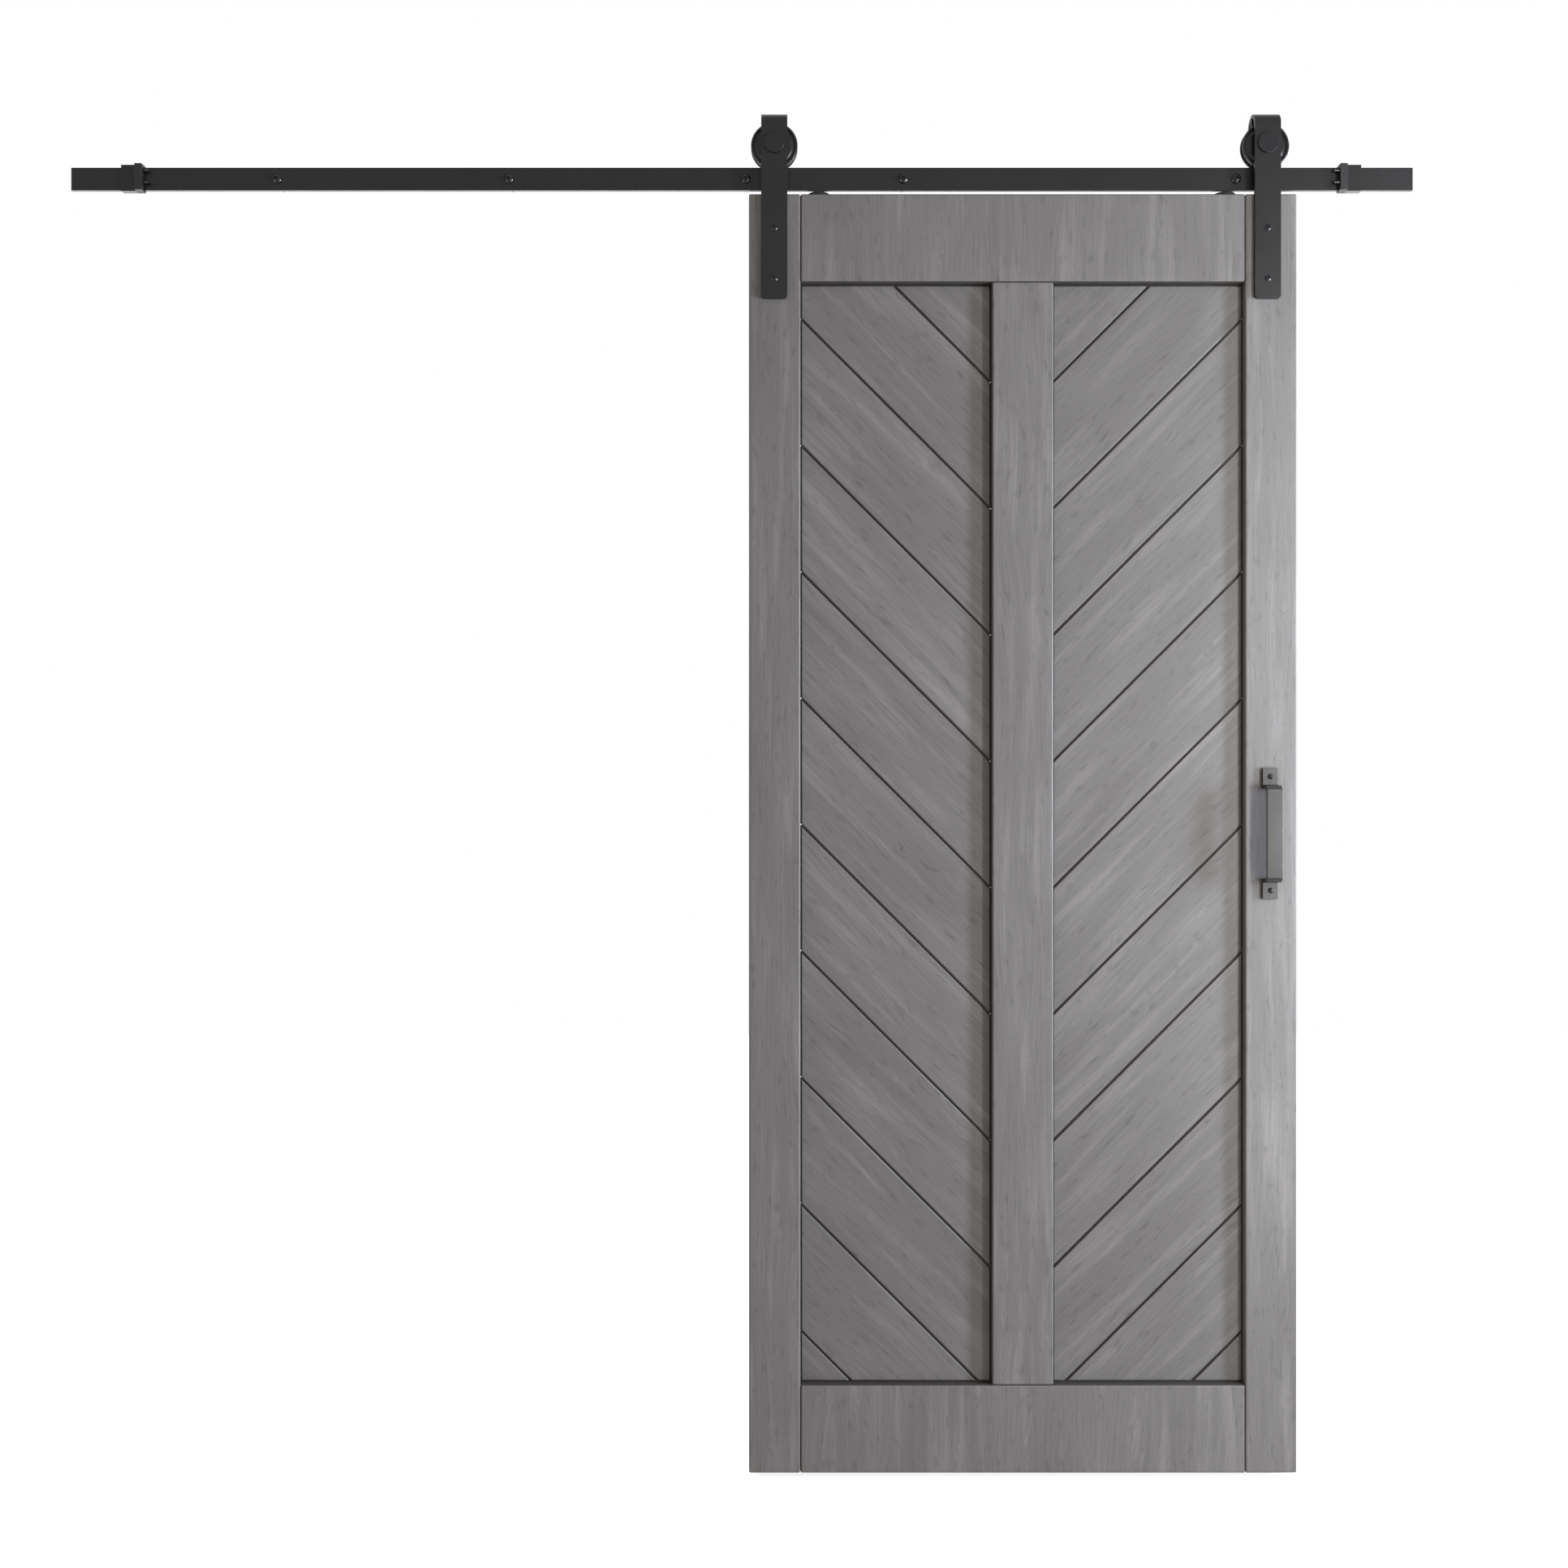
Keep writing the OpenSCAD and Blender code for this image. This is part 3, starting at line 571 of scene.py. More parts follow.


# A larger figure in the shaded direction carries the painted shade further round the edges
for i, (name, node, shaded_facing) in enumerate((
        ("left_outer_stile", "left_stile", (0, 0, 1.5)),
        ("right_outer_stile", "right_stile", (0, 0, 1.5)),
        ("upper_rail", "top_rail", (2.4, 0, 1.5)), ("lower_rail", "bottom_rail", (2.4, 0, 1.5)),
        ("centre_stile", "middle_stile", (1, 0, 0)))):
    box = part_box(node)
    timber = add_block(name, *box)
    soften(timber, FRAME_EDGE_R, 4)
    reach = tongue_len + GROOVE_EXTRA
    half = TONGUE_T / 2 + TONGUE_SLACK
    for left, right in openings:
        carve(timber, add_block(
            "groove", (left - reach, door_middle - half, opening_bottom - reach),
            (right + reach, door_middle + half, opening_top + reach)))
    for start, end in dowels:
        if near(box, start, end):
            drill(timber, DOWEL_R, start, end, sides=24)
    laminate = grey_oak_laminate(f"grey oak laminate on the {node.replace('_', ' ')}", 0,
                                 (0.37 * i, 0.11 * i, 1.3 * i), 1, shaded_facing, 0)
    finish(timber, laminate, "door", "frame_laminate", node)

# Fluted beech dowels, turned and glued across each joint; they stay out of sight.


def turned_beech(name):
    """Turned beech: pale warm wood with short dark rays along the grain, closed and dry."""
    ray_mm = 1.5
    material, tree, place = new_material(name)
    rays = add_node(tree, "TexNoise", {"Vector": place, "Scale": 1 / (ray_mm * MM), "Detail": 2})
    tint = add_node(tree, "MixRGB", {
        "Fac": rays.outputs["Fac"], "Color1": linear("#b08c5e"), "Color2": linear("#d6b98c")})
    skin = add_node(tree, "Bump", {
        "Height": rays.outputs["Fac"], "Strength": 0.2, "Distance": 0.1 * MM})
    shader = add_node(tree, "BsdfPrincipled", {
        "Base Color": tint.outputs["Color"], "Roughness": 0.6, "Normal": skin.outputs["Normal"]})
    add_node(tree, "OutputMaterial", {"Surface": shader.outputs["BSDF"]})
    return material


wear_cad_node("frame_dowels", turned_beech("turned beech"))

# ---- Planks ----------------------------------------------------------------------------------
# Two panels of tongued boards in the same laminate, a little darker, laid at 45 degrees so that
# they fall towards the middle stile. Each board lies in the frame's groove, and its tongue in
# the next board's groove; the fine rounded edges leave an open seam between the faces, darkened
# by a painted shade on each board's tongue, groove and the deeper part of its sides.

PLANK_W = 150 * MM
PLANK_COUNT = 11
PLANK_SHADE = 0.94
SEAM_STEP = PLANK_W * math.sqrt(2)
FIRST_SEAM_DROP = 56.5 * MM
SEAM_W = 3.8 * MM
RIM_GAP = 2.2 * MM
PLANK_T = 15 * MM
PLANK_EDGE_R = 1.8 * MM
TONGUE_PUSH = tongue_len + RIM_GAP
SEAM_GROOVE = TONGUE_PUSH - SEAM_W + TONGUE_SLACK
PINHOLE_R = 1.2 * MM
# Half depth of each board's core that gets the painted shade of the seams and the rim gap
SHADED_CORE = 5.5 * MM


def grab(piece, test, kind="faces"):
    """In edit mode, select only the faces or edges whose middle and direction pass the test."""
    mesh = bmesh.from_edit_mesh(piece.data)
    bpy.ops.mesh.select_all(action="DESELECT")
    bpy.ops.mesh.select_mode(type="FACE" if kind == "faces" else "EDGE")
    for part in getattr(mesh, kind):
        if kind == "faces":
            hit = test(part.calc_center_median(), part.normal)
        else:
            ends = [vertex.co for vertex in part.verts]
            hit = test((ends[0] + ends[1]) / 2, (ends[1] - ends[0]).normalized())
        part.select_set(hit)
    bmesh.update_edit_mesh(piece.data)


def trim(piece, point, normal):
    """Cut everything off a piece on the side of a plane that its normal points to."""
    use_only(piece)
    bpy.ops.object.mode_set(mode="EDIT")
    bpy.ops.mesh.select_all(action="SELECT")
    bpy.ops.mesh.bisect(plane_co=point, plane_no=normal, use_fill=True, clear_outer=True)
    bpy.ops.object.mode_set(mode="OBJECT")


def even_shading(piece):
    """Shade rounded edges smoothly and keep the large faces beside them flat to the eye."""
    use_only(piece)
    bpy.ops.mesh.customdata_custom_splitnormals_clear()
    bpy.ops.object.shade_smooth_by_angle(angle=math.radians(35))
    weighted = piece.modifiers.new("even shading", "WEIGHTED_NORMAL")
    weighted.keep_sharp = True
    bpy.ops.object.modifier_apply(modifier=weighted.name)


def lay_plank(name, seam, opening, slope):
    """Cut one tongued board that lies above a seam and fits one opening.

    The seam is the point where its line meets the opening's outer edge; the slope is -1 where
    the boards fall to the right and 1 where they fall to the left.
    """
    left, right = opening
    reach = 2 * (right - left)
    turn = (0, -slope * math.radians(45), 0)
    front, back = door_middle - PLANK_T / 2, door_middle + PLANK_T / 2
    board = add_block(name, (-reach, front, SEAM_W / 2), (reach, back, PLANK_W - SEAM_W / 2))
    board.rotation_euler = turn
    board.location = seam
    settle(name)
    for point, normal in (
            ((left + RIM_GAP, 0, 0), (-1, 0, 0)), ((right - RIM_GAP, 0, 0), (1, 0, 0)),
            ((0, 0, opening_top - RIM_GAP), (0, 0, 1)),
            ((0, 0, opening_bottom + RIM_GAP), (0, 0, -1))):
        trim(board, point, normal)
    below = Vector((slope, 0, -1)).normalized()
    bpy.ops.object.mode_set(mode="EDIT")
    grab(board, lambda middle, along: abs(along.y) < 0.5, "edges")
    bpy.ops.mesh.bevel(offset=PLANK_EDGE_R, segments=4, affect="EDGES")
    for y in (door_middle - TONGUE_T / 2, door_middle + TONGUE_T / 2):
        bpy.ops.mesh.select_all(action="SELECT")
        bpy.ops.mesh.bisect(plane_co=(0, y, 0), plane_no=(0, 1, 0))
    grab(board, lambda middle, normal: abs(middle.y - door_middle) < TONGUE_T / 2 - MM
         and abs(normal.y) < 0.5 and normal.dot(below) < 0.99)
    bpy.ops.mesh.extrude_region_shrink_fatten(
        TRANSFORM_OT_shrink_fatten={"value": TONGUE_PUSH, "use_even_offset": True})
    bpy.ops.object.mode_set(mode="OBJECT")
    half = TONGUE_T / 2 + TONGUE_SLACK
    groove = add_block("groove", (-reach, door_middle - half, -PLANK_T),
                       (reach, door_middle + half, SEAM_W / 2 + SEAM_GROOVE))
    groove.rotation_euler = turn
    groove.location = seam
    settle("groove")
    carve(board, groove)
    # Where a seam meets the frame, the tongue's corner is nipped off and leaves a pinhole
    top = Vector(seam) + Vector((0, 0, SEAM_STEP))
    for x in (left + RIM_GAP / 2, right - RIM_GAP / 2):
        z = top.z - abs(x - top.x) + PINHOLE_R / 2
        if opening_bottom + 3 * TONGUE_PUSH < z < opening_top - 3 * TONGUE_PUSH:
            drill(board, PINHOLE_R, (x, door_middle - PLANK_T, z),
                  (x, door_middle + PLANK_T, z), 12)
    even_shading(board)
    return board


for side, slope, opening in (("left", -1, openings[0]), ("right", 1, openings[1])):
    outer = opening[0] if slope < 0 else opening[1]
    for i in range(1, PLANK_COUNT + 1):
        seam_z = opening_top - FIRST_SEAM_DROP - (i - 2) * SEAM_STEP
        board = lay_plank(f"{side}_panel_board_{i}", (outer, 0, seam_z), opening, slope)
        laminate = grey_oak_laminate(
            f"grey oak laminate on {side} board {i}", -slope * math.radians(45),
            (0.43 * i, 0.19 * i + 0.5 * slope, 1.7 * i), PLANK_SHADE,
            (0, 0, 0), SHADED_CORE)
        finish(board, laminate, "door", "plank_laminate", f"{side}_plank_{i}")

# ---- Wheels and bearings ---------------------------------------------------------------------
# Two grooved rollers turned from black nylon, each with a shallow dished ring in both faces, on
# a ball bearing pressed in from the back. The groove runs on the top edge of the bar.

WHEEL_EDGE_R = 0.6 * MM
TREAD_R = 34.7 * MM
GROOVE_W = 8 * MM
GROOVE_FLARE = 1.2 * MM
DISH = 2 * MM
DISH_IN_R = 28.6 * MM
DISH_OUT_R = 35 * MM
DISH_SLOPE = 3.2 * MM
RIM_SLOPE_W = 1.4 * MM
RIM_SLOPE_H = 0.9 * MM
HUB_HOLE_R = 9.5 * MM
BEARING_R = 15 * MM
BEARING_W = 12 * MM


def turned_nylon(name, axle):
    """Turned black nylon: smooth, a little waxy, with fine rings left round the axle."""
    # The lathe's feed is about 0.1 mm; the rings are drawn 0.8 mm apart so that they still show
    feed_mm = 0.8
    haze_mm = 14
    material, tree, place = new_material(name)
    centred = add_node(tree, "Mapping", {"Vector": place, "Location": [-c for c in axle]})
    rings = add_node(tree, "TexWave", {
        "Vector": centred.outputs["Vector"], "Scale": math.tau / (20 * feed_mm * MM),
        "Distortion": 0.3}, wave_type="RINGS", rings_direction="Y")
    haze = add_node(tree, "TexNoise", {"Vector": place, "Scale": 1 / (haze_mm * MM), "Detail": 3})
    tint = add_node(tree, "MixRGB", {
        "Fac": haze.outputs["Fac"], "Color1": linear("#171718"), "Color2": linear("#232324")})
    gloss = add_node(tree, "MapRange", {
        "Value": haze.outputs["Fac"], "To Min": 0.24, "To Max": 0.36})
    skin = add_node(tree, "Bump", {
        "Height": rings.outputs["Fac"], "Strength": 0.15, "Distance": 0.02 * MM})
    shader = add_node(tree, "BsdfPrincipled", {
        "Base Color": tint.outputs["Color"], "Roughness": gloss.outputs["Result"], "IOR": 1.53,
        "Normal": skin.outputs["Normal"]})
    add_node(tree, "OutputMaterial", {"Surface": shader.outputs["BSDF"]})
    return material


def ground_steel(name):
    """Ground and polished bearing steel: bright, neutral, with a trace of grinding lines."""
    line_mm = 0.6
    material, tree, place = new_material(name)
    lines = add_node(tree, "TexNoise", {"Vector": place, "Scale": 1 / (line_mm * MM), "Detail": 2})
    tint = add_node(tree, "MixRGB", {
        "Fac": lines.outputs["Fac"], "Color1": linear("#b4b5b8"), "Color2": linear("#d6d6d8")})
    gloss = add_node(tree, "MapRange", {
        "Value": lines.outputs["Fac"], "To Min": 0.14, "To Max": 0.26})
    shader = add_node(tree, "BsdfPrincipled", {
        "Base Color": tint.outputs["Color"], "Roughness": gloss.outputs["Result"], "Metallic": 1})
    add_node(tree, "OutputMaterial", {"Surface": shader.outputs["BSDF"]})
    return material


strap_boxes = [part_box("left_strap"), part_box("right_strap")]
strap_x = [(low.x + high.x) / 2 for low, high in strap_boxes]
to_right = (strap_x[1] - strap_x[0], 0, 0)
bearing_steel = ground_steel("ground bearing steel")
wheel_low, wheel_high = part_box("left_wheel")
axle_z = (wheel_low.z + wheel_high.z) / 2
track_y = (bar_front + bar_back) / 2
flange_r = (wheel_high.z - wheel_low.z) / 2
half = (wheel_high.y - wheel_low.y) / 2
# (radius, height) outline, the back face first: dish, flange, groove, dish, hub and seat
left_roller = lathe("left_roller", [
    (BEARING_R, -half), (DISH_IN_R, -half), (DISH_IN_R + DISH_SLOPE, DISH - half),
    (DISH_OUT_R - DISH / 2, DISH - half), (DISH_OUT_R, -half),
    (flange_r - RIM_SLOPE_W, -half), (flange_r, RIM_SLOPE_H - half),
    (flange_r, -GROOVE_W / 2 - GROOVE_FLARE), (TREAD_R, -GROOVE_W / 2),
    (TREAD_R, GROOVE_W / 2), (flange_r, GROOVE_W / 2 + GROOVE_FLARE),
    (flange_r, half - RIM_SLOPE_H), (flange_r - RIM_SLOPE_W, half),
    (DISH_OUT_R, half), (DISH_OUT_R - DISH / 2, half - DISH),
    (DISH_IN_R + DISH_SLOPE, half - DISH), (DISH_IN_R, half),
    (HUB_HOLE_R, half), (HUB_HOLE_R, BEARING_W / 2), (BEARING_R, BEARING_W / 2),
], (strap_x[0], track_y, axle_z), steps=96)
soften(left_roller, WHEEL_EDGE_R, 3, 20)
rollers = [left_roller, copy_to(left_roller, "right_roller", to_right)]
for side, x, roller in zip(("left", "right"), strap_x, rollers):
    nylon = turned_nylon(f"turned black nylon on the {side} wheel", (x, track_y, axle_z))
    finish(roller, nylon, f"{side}_wheel", "wheel_nylon", f"{side}_wheel")
    wear_cad_node(f"{side}_bearing_ring", bearing_steel)
wear_cad_node("bearing_inner_rings", bearing_steel)
wear_cad_node("bearing_balls", bearing_steel)
wear_cad_node("axle_bushes", zinc_steel("bright zinc on the axle bushes"))

# ---- Strap hangers ---------------------------------------------------------------------------
# Flat steel bent cold over the wheel: a long leg bolted to the stile's face and a short round-
# ended leg behind the wheel. The outer corners are rounded, and the whole is powder coated.

STRAP_T = 6 * MM
STRAP_CORNER_R = 5.5 * MM
STRAP_EASE = 0.6 * MM
AXLE_R = 5 * MM
STRAP_BOLT_R = 4 * MM
BOLT_HEAD_R = 5.5 * MM


def bend_strap(name, node, x):
    """Bend one hanger: front leg, half turn over the wheel, then the short rear leg."""
    low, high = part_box(node)
    bend_r = (high.y - low.y) / 2
    bend_y, bend_z = low.y + bend_r, high.z - bend_r
    half = (high.x - low.x) / 2
    strap = add_block(name, low, (high.x, low.y + STRAP_T, bend_z))
    bpy.ops.object.mode_set(mode="EDIT")
    grab(strap, lambda middle, normal: normal.z > 0.9)
    bpy.ops.mesh.spin(steps=28, angle=math.pi, center=(x, bend_y, bend_z), axis=(1, 0, 0))
    grab(strap, lambda middle, normal: normal.z < -0.9 and middle.y > bend_y)
    bpy.ops.mesh.extrude_region_move(
        TRANSFORM_OT_translate={"value": (0, 0, axle_z - half - bend_z)})
    bpy.ops.mesh.select_all(action="SELECT")
    bpy.ops.mesh.remove_doubles(threshold=WELD)
    bpy.ops.mesh.normals_make_consistent(inside=False)
    grab(strap, lambda middle, along: abs(along.y) > 0.9 and middle.z < low.z + MM, "edges")
    bpy.ops.mesh.bevel(offset=STRAP_CORNER_R, segments=8, affect="EDGES")
    grab(strap, lambda middle, along: abs(along.y) > 0.9 and middle.y > bend_y
         and middle.z < axle_z - half + MM, "edges")
    bpy.ops.mesh.bevel(offset=half * 0.999, segments=20, affect="EDGES")
    bpy.ops.object.mode_set(mode="OBJECT")
    drill(strap, AXLE_R, (x, low.y - MM, axle_z), (x, high.y + MM, axle_z))
    for z in bolt_z:
        drill(strap, STRAP_BOLT_R, (x, low.y - MM, z), (x, door_front, z))
    soften(strap, STRAP_EASE)
    return strap


bolt_low, bolt_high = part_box("strap_bolts")
bolt_z = [bolt_high.z - BOLT_HEAD_R, bolt_low.z + BOLT_HEAD_R]
hanger_coat = powder_coat("satin black powder coat on the hangers")
left_hanger = bend_strap("left_strap_hanger", "left_strap", strap_x[0])
right_hanger = copy_to(left_hanger, "right_strap_hanger", to_right)
for hanger, node in ((left_hanger, "left_strap"), (right_hanger, "right_strap")):
    finish(hanger, hanger_coat, "door", "hanger_powder_coat", node)

# ---- Bolts, nuts and axles -------------------------------------------------------------------
# Each hanger is held by two domed socket bolts, which thread into flanged sleeve nuts let into
# the door's back. The axle is a bolt with a wide flat cap in front and a hexagon nut behind.

AXLE_CAP_R = 16.8 * MM
BOLT_HEAD_H = 3 * MM
BOLT_RIM = 0.6 * MM
BOLT_SOCKET_R = 2.3 * MM
BOLT_SOCKET_DEPTH = 1.8 * MM
BOLT_EDGE_R = 0.2 * MM
NUT_FLANGE_R = 8 * MM
NUT_BARREL_R = 5.2 * MM
NUT_BARREL = 18 * MM
NUT_SOCKET_R = 2.9 * MM
NUT_SOCKET_DEPTH = 1.5 * MM
NUT_EDGE_R = 0.5 * MM
AXLE_POINT = 0.8 * MM
AXLE_NUT_R = 17 * MM / math.sqrt(3)
NUT_CHAMFER = 1.1 * MM
AXLE_EDGE_R = 0.7 * MM
AXLE_NUT_EDGE_R = 0.25 * MM

strap_front = strap_boxes[0][0].y
bolt_oxide = black_oxide("black oxide on the strap bolts", 0.26)
nut_oxide = black_oxide("black oxide on the sleeve nuts")
axle_oxide = black_oxide("black oxide on the axle bolts", 0.38)
nut_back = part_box("strap_nuts")[1].y
shank = door_back - strap_front
flange = nut_back - door_back

first_bolt = lathe("strap_bolt_left_upper", [(0, 0), (STRAP_BOLT_R, 0), (STRAP_BOLT_R, shank)]
                   + [(r, shank + h) for r, h in dome(BOLT_HEAD_R, BOLT_HEAD_H, BOLT_RIM)],
                   (strap_x[0], door_back, bolt_z[0]))
hex_socket(first_bolt, (strap_x[0], strap_front - BOLT_HEAD_H, bolt_z[0]),
           BOLT_SOCKET_R, BOLT_SOCKET_DEPTH)
soften(first_bolt, BOLT_EDGE_R, 2)
first_nut = lathe("sleeve_nut_left_upper", [
    (0, 0), (NUT_FLANGE_R, 0), (NUT_FLANGE_R, flange), (NUT_BARREL_R, flange),
    (NUT_BARREL_R, flange + NUT_BARREL), (STRAP_BOLT_R, flange + NUT_BARREL),
    (STRAP_BOLT_R, flange), (0, flange),
], (strap_x[0], nut_back, bolt_z[0]))
drill(first_nut, NUT_SOCKET_R, (strap_x[0], nut_back + MM, bolt_z[0]),
      (strap_x[0], nut_back - NUT_SOCKET_DEPTH, bolt_z[0]), sides=6)
soften(first_nut, NUT_EDGE_R)
for side, x in zip(("left", "right"), strap_x):
    for level, z in zip(("upper", "lower"), bolt_z):
        shift = (x - strap_x[0], 0, z - bolt_z[0])
        bolt, nut = first_bolt, first_nut
        if shift != (0, 0, 0):
            bolt = copy_to(first_bolt, f"strap_bolt_{side}_{level}", shift)
            nut = copy_to(first_nut, f"sleeve_nut_{side}_{level}", shift)
        finish(bolt, bolt_oxide, "door", "black_oxide_steel", "strap_bolts")
        finish(nut, nut_oxide, "door", "black_oxide_steel", "strap_nuts")

axle_low, axle_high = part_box("axle_bolts")
cap_at = axle_high.y - strap_front
cap_top = axle_high.y - axle_low.y
nuts_low, nuts_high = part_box("axle_nuts")
nut_len = nuts_high.y - nuts_low.y
axle_x = strap_x[0]
left_axle = lathe("left_axle_bolt", [
    (0, 0), (AXLE_R - AXLE_POINT, 0), (AXLE_R, AXLE_POINT), (AXLE_R, cap_at),
    (AXLE_CAP_R, cap_at), (AXLE_CAP_R, cap_top), (0, cap_top),
], (axle_x, axle_high.y, axle_z), steps=96)
soften(left_axle, AXLE_EDGE_R, 3, 50)
left_nut = add_rod("left_axle_nut", AXLE_NUT_R, (axle_x, nuts_high.y, axle_z),
                   (axle_x, nuts_low.y, axle_z), sides=6)
carve(left_nut, lathe("corner_cut", [
    (0, 0), (AXLE_NUT_R - NUT_CHAMFER, 0), (AXLE_NUT_R, NUT_CHAMFER * 0.6),
    (AXLE_NUT_R, nut_len - NUT_CHAMFER * 0.6), (AXLE_NUT_R - NUT_CHAMFER, nut_len),
    (0, nut_len),
], (axle_x, nuts_high.y, axle_z)), "INTERSECT")
drill(left_nut, AXLE_R, (axle_x, nuts_low.y - MM, axle_z), (axle_x, nuts_high.y + MM, axle_z))
soften(left_nut, AXLE_NUT_EDGE_R, 2)
for axle in (left_axle, copy_to(left_axle, "right_axle_bolt", to_right)):
    finish(axle, axle_oxide, "door", "black_oxide_steel", "axle_bolts")
for nut in (left_nut, copy_to(left_nut, "right_axle_nut", to_right)):
    finish(nut, axle_oxide, "door", "black_oxide_steel", "axle_nuts")

# ---- Anti-jump discs -------------------------------------------------------------------------
# Two thick steel discs screwed to the top of the door close behind the bar's lower edge. If the
# door is lifted they meet the bar before the wheels can leave it. Coated like the hangers.

DISC_SCREW_R = 2.5 * MM
DISC_SCREW_HEAD_R = 5 * MM
DISC_SCREW_POINT = 5 * MM
DISC_SOCKET_R = 1.95 * MM
DISC_SOCKET_DEPTH = 1.8 * MM
DISC_SEAT_GAP = 0.1 * MM
DISC_EDGE_R = 0.8 * MM

disc_screw_low, disc_screw_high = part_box("disc_screws")
sunk = DISC_SCREW_HEAD_R - DISC_SCREW_R
screw_len = disc_screw_high.z - disc_screw_low.z
disc_zinc = zinc_steel("bright zinc on the disc screws")
disc_coat = powder_coat("satin black powder coat on the discs")
low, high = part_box("left_antijump_disc")
middle, disc_r, disc_t = (low + high) / 2, (high.x - low.x) / 2, high.z - low.z
left_disc = lathe("left_jump_stop_disc", [
    (DISC_SCREW_R, 0), (disc_r, 0), (disc_r, disc_t),
    (DISC_SCREW_HEAD_R + DISC_SEAT_GAP, disc_t),
    (DISC_SCREW_R, disc_t - sunk - DISC_SEAT_GAP),
], (middle.x, middle.y, low.z), (0, 0, 0))
soften(left_disc, DISC_EDGE_R, 3, 50)
left_screw = lathe("left_disc_screw", [
    (0, 0), (DISC_SCREW_R, DISC_SCREW_POINT), (DISC_SCREW_R, screw_len - sunk),
    (DISC_SCREW_HEAD_R, screw_len), (0, screw_len),
], (middle.x, middle.y, disc_screw_low.z), (0, 0, 0), steps=48)
drill(left_screw, DISC_SOCKET_R, (middle.x, middle.y, disc_screw_high.z + MM),
      (middle.x, middle.y, disc_screw_high.z - DISC_SOCKET_DEPTH), sides=6)
soften(left_screw, BOLT_EDGE_R, 2, 50)
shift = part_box("right_antijump_disc")[0] - low
right_disc = copy_to(left_disc, "right_jump_stop_disc", shift)
for disc, node in ((left_disc, "left_antijump_disc"), (right_disc, "right_antijump_disc")):
    finish(disc, disc_coat, "door", "hanger_powder_coat", node)
for screw in (left_screw, copy_to(left_screw, "right_disc_screw", shift)):
    finish(screw, disc_zinc, "door", "zinc_steel", "disc_screws")

# ---- Pull handle -----------------------------------------------------------------------------
# One flat steel bar folded into two feet, two legs and a grip with a slanted corner at each end,
# powder coated, and held on the right stile by a domed socket screw through each foot.

HANDLE_T = 6 * MM
HANDLE_FOOT = 28.4 * MM
HANDLE_BEND = 8 * MM
HANDLE_FOLD_R = 2.2 * MM
HANDLE_EASE = 0.5 * MM
HANDLE_SCREW_R = 2.2 * MM
HANDLE_HEAD_R = 4.65 * MM
HANDLE_HEAD_H = 3 * MM
HANDLE_RIM = 0.4 * MM
HANDLE_SCREW_POINT = 4 * MM
HANDLE_SOCKET_R = 1.7 * MM
HANDLE_SOCKET_DEPTH = 1.5 * MM

handle_low, handle_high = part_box("pull_handle")
handle_x = (handle_low.x + handle_high.x) / 2
handle_z = (handle_low.z + handle_high.z) / 2
handle_half = (handle_high.z - handle_low.z) / 2
handle_reach = door_front - handle_low.y
leg = handle_half - HANDLE_FOOT
fold = HANDLE_T * (math.sqrt(2) - 1)
# Upper half of the bar's outline as (distance off the door, height above the centre)
upper = [
    (handle_reach, leg - HANDLE_BEND), (handle_reach - HANDLE_BEND, leg), (HANDLE_T, leg),
    (HANDLE_T, handle_half), (0, handle_half), (0, leg - HANDLE_T),
    (handle_reach - HANDLE_BEND - fold, leg - HANDLE_T),
    (handle_reach - HANDLE_T, leg - HANDLE_BEND - fold),
]
outline = [(out, z) for out, z in upper] + [(out, -z) for out, z in reversed(upper)]
draw_line([(handle_low.x, door_front - out, handle_z + z) for out, z in outline + outline[:1]])
handle = bpy.context.object
bpy.ops.mesh.remove_doubles(threshold=WELD)
bpy.ops.mesh.edge_face_add()
bpy.ops.mesh.extrude_region_move(
    TRANSFORM_OT_translate={"value": (handle_high.x - handle_low.x, 0, 0)})
bpy.ops.mesh.select_all(action="SELECT")
bpy.ops.mesh.normals_make_consistent(inside=False)
grab(handle, lambda middle, along: abs(along.x) > 0.9
     and abs(middle.z - handle_z) < handle_half - MM, "edges")
bpy.ops.mesh.bevel(offset=HANDLE_FOLD_R, segments=4, affect="EDGES")
bpy.ops.object.mode_set(mode="OBJECT")
handle = settle("folded_pull_handle")
screw_z = handle_half - HANDLE_FOOT / 2
for side in (-1, 1):
    z = handle_z + side * screw_z
    drill(handle, HANDLE_SCREW_R, (handle_x, door_front - HANDLE_T - MM, z),
          (handle_x, door_front + MM, z), 32)
soften(handle, HANDLE_EASE)
handle_coat = powder_coat(
    "satin black powder coat on the handle", "#1c1c1d", "#252526", 0.26, 1.8)
finish(handle, handle_coat, "door", "handle_powder_coat", "pull_handle")
handle_oxide = black_oxide("black oxide on the handle screws", 0.22)
screws_low, screws_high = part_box("handle_screws")
seat = screws_high.y - door_front + HANDLE_T
upper_z = handle_z + screw_z
upper_screw = lathe("upper_handle_screw", [
    (0, 0), (HANDLE_SCREW_R, HANDLE_SCREW_POINT), (HANDLE_SCREW_R, seat)
] + [(r, seat + h) for r, h in dome(HANDLE_HEAD_R, HANDLE_HEAD_H, HANDLE_RIM)],
    (handle_x, screws_high.y, upper_z), steps=48)
hex_socket(upper_screw, (handle_x, screws_low.y, upper_z), HANDLE_SOCKET_R, HANDLE_SOCKET_DEPTH)
soften(upper_screw, BOLT_EDGE_R, 2)
for screw in (upper_screw, copy_to(upper_screw, "lower_handle_screw", (0, 0, -2 * screw_z))):
    finish(screw, handle_oxide, "door", "black_oxide_steel", "handle_screws")

# ---- Studio ----------------------------------------------------------------------------------
# A pale floor just under the door, a white surround that is dimmer on the camera's side, a tall
# strip light close to the door's right, and a cool soft light far to the right. Three more cards
# show only in reflections: on the handle, on the wheels' left and under the track.

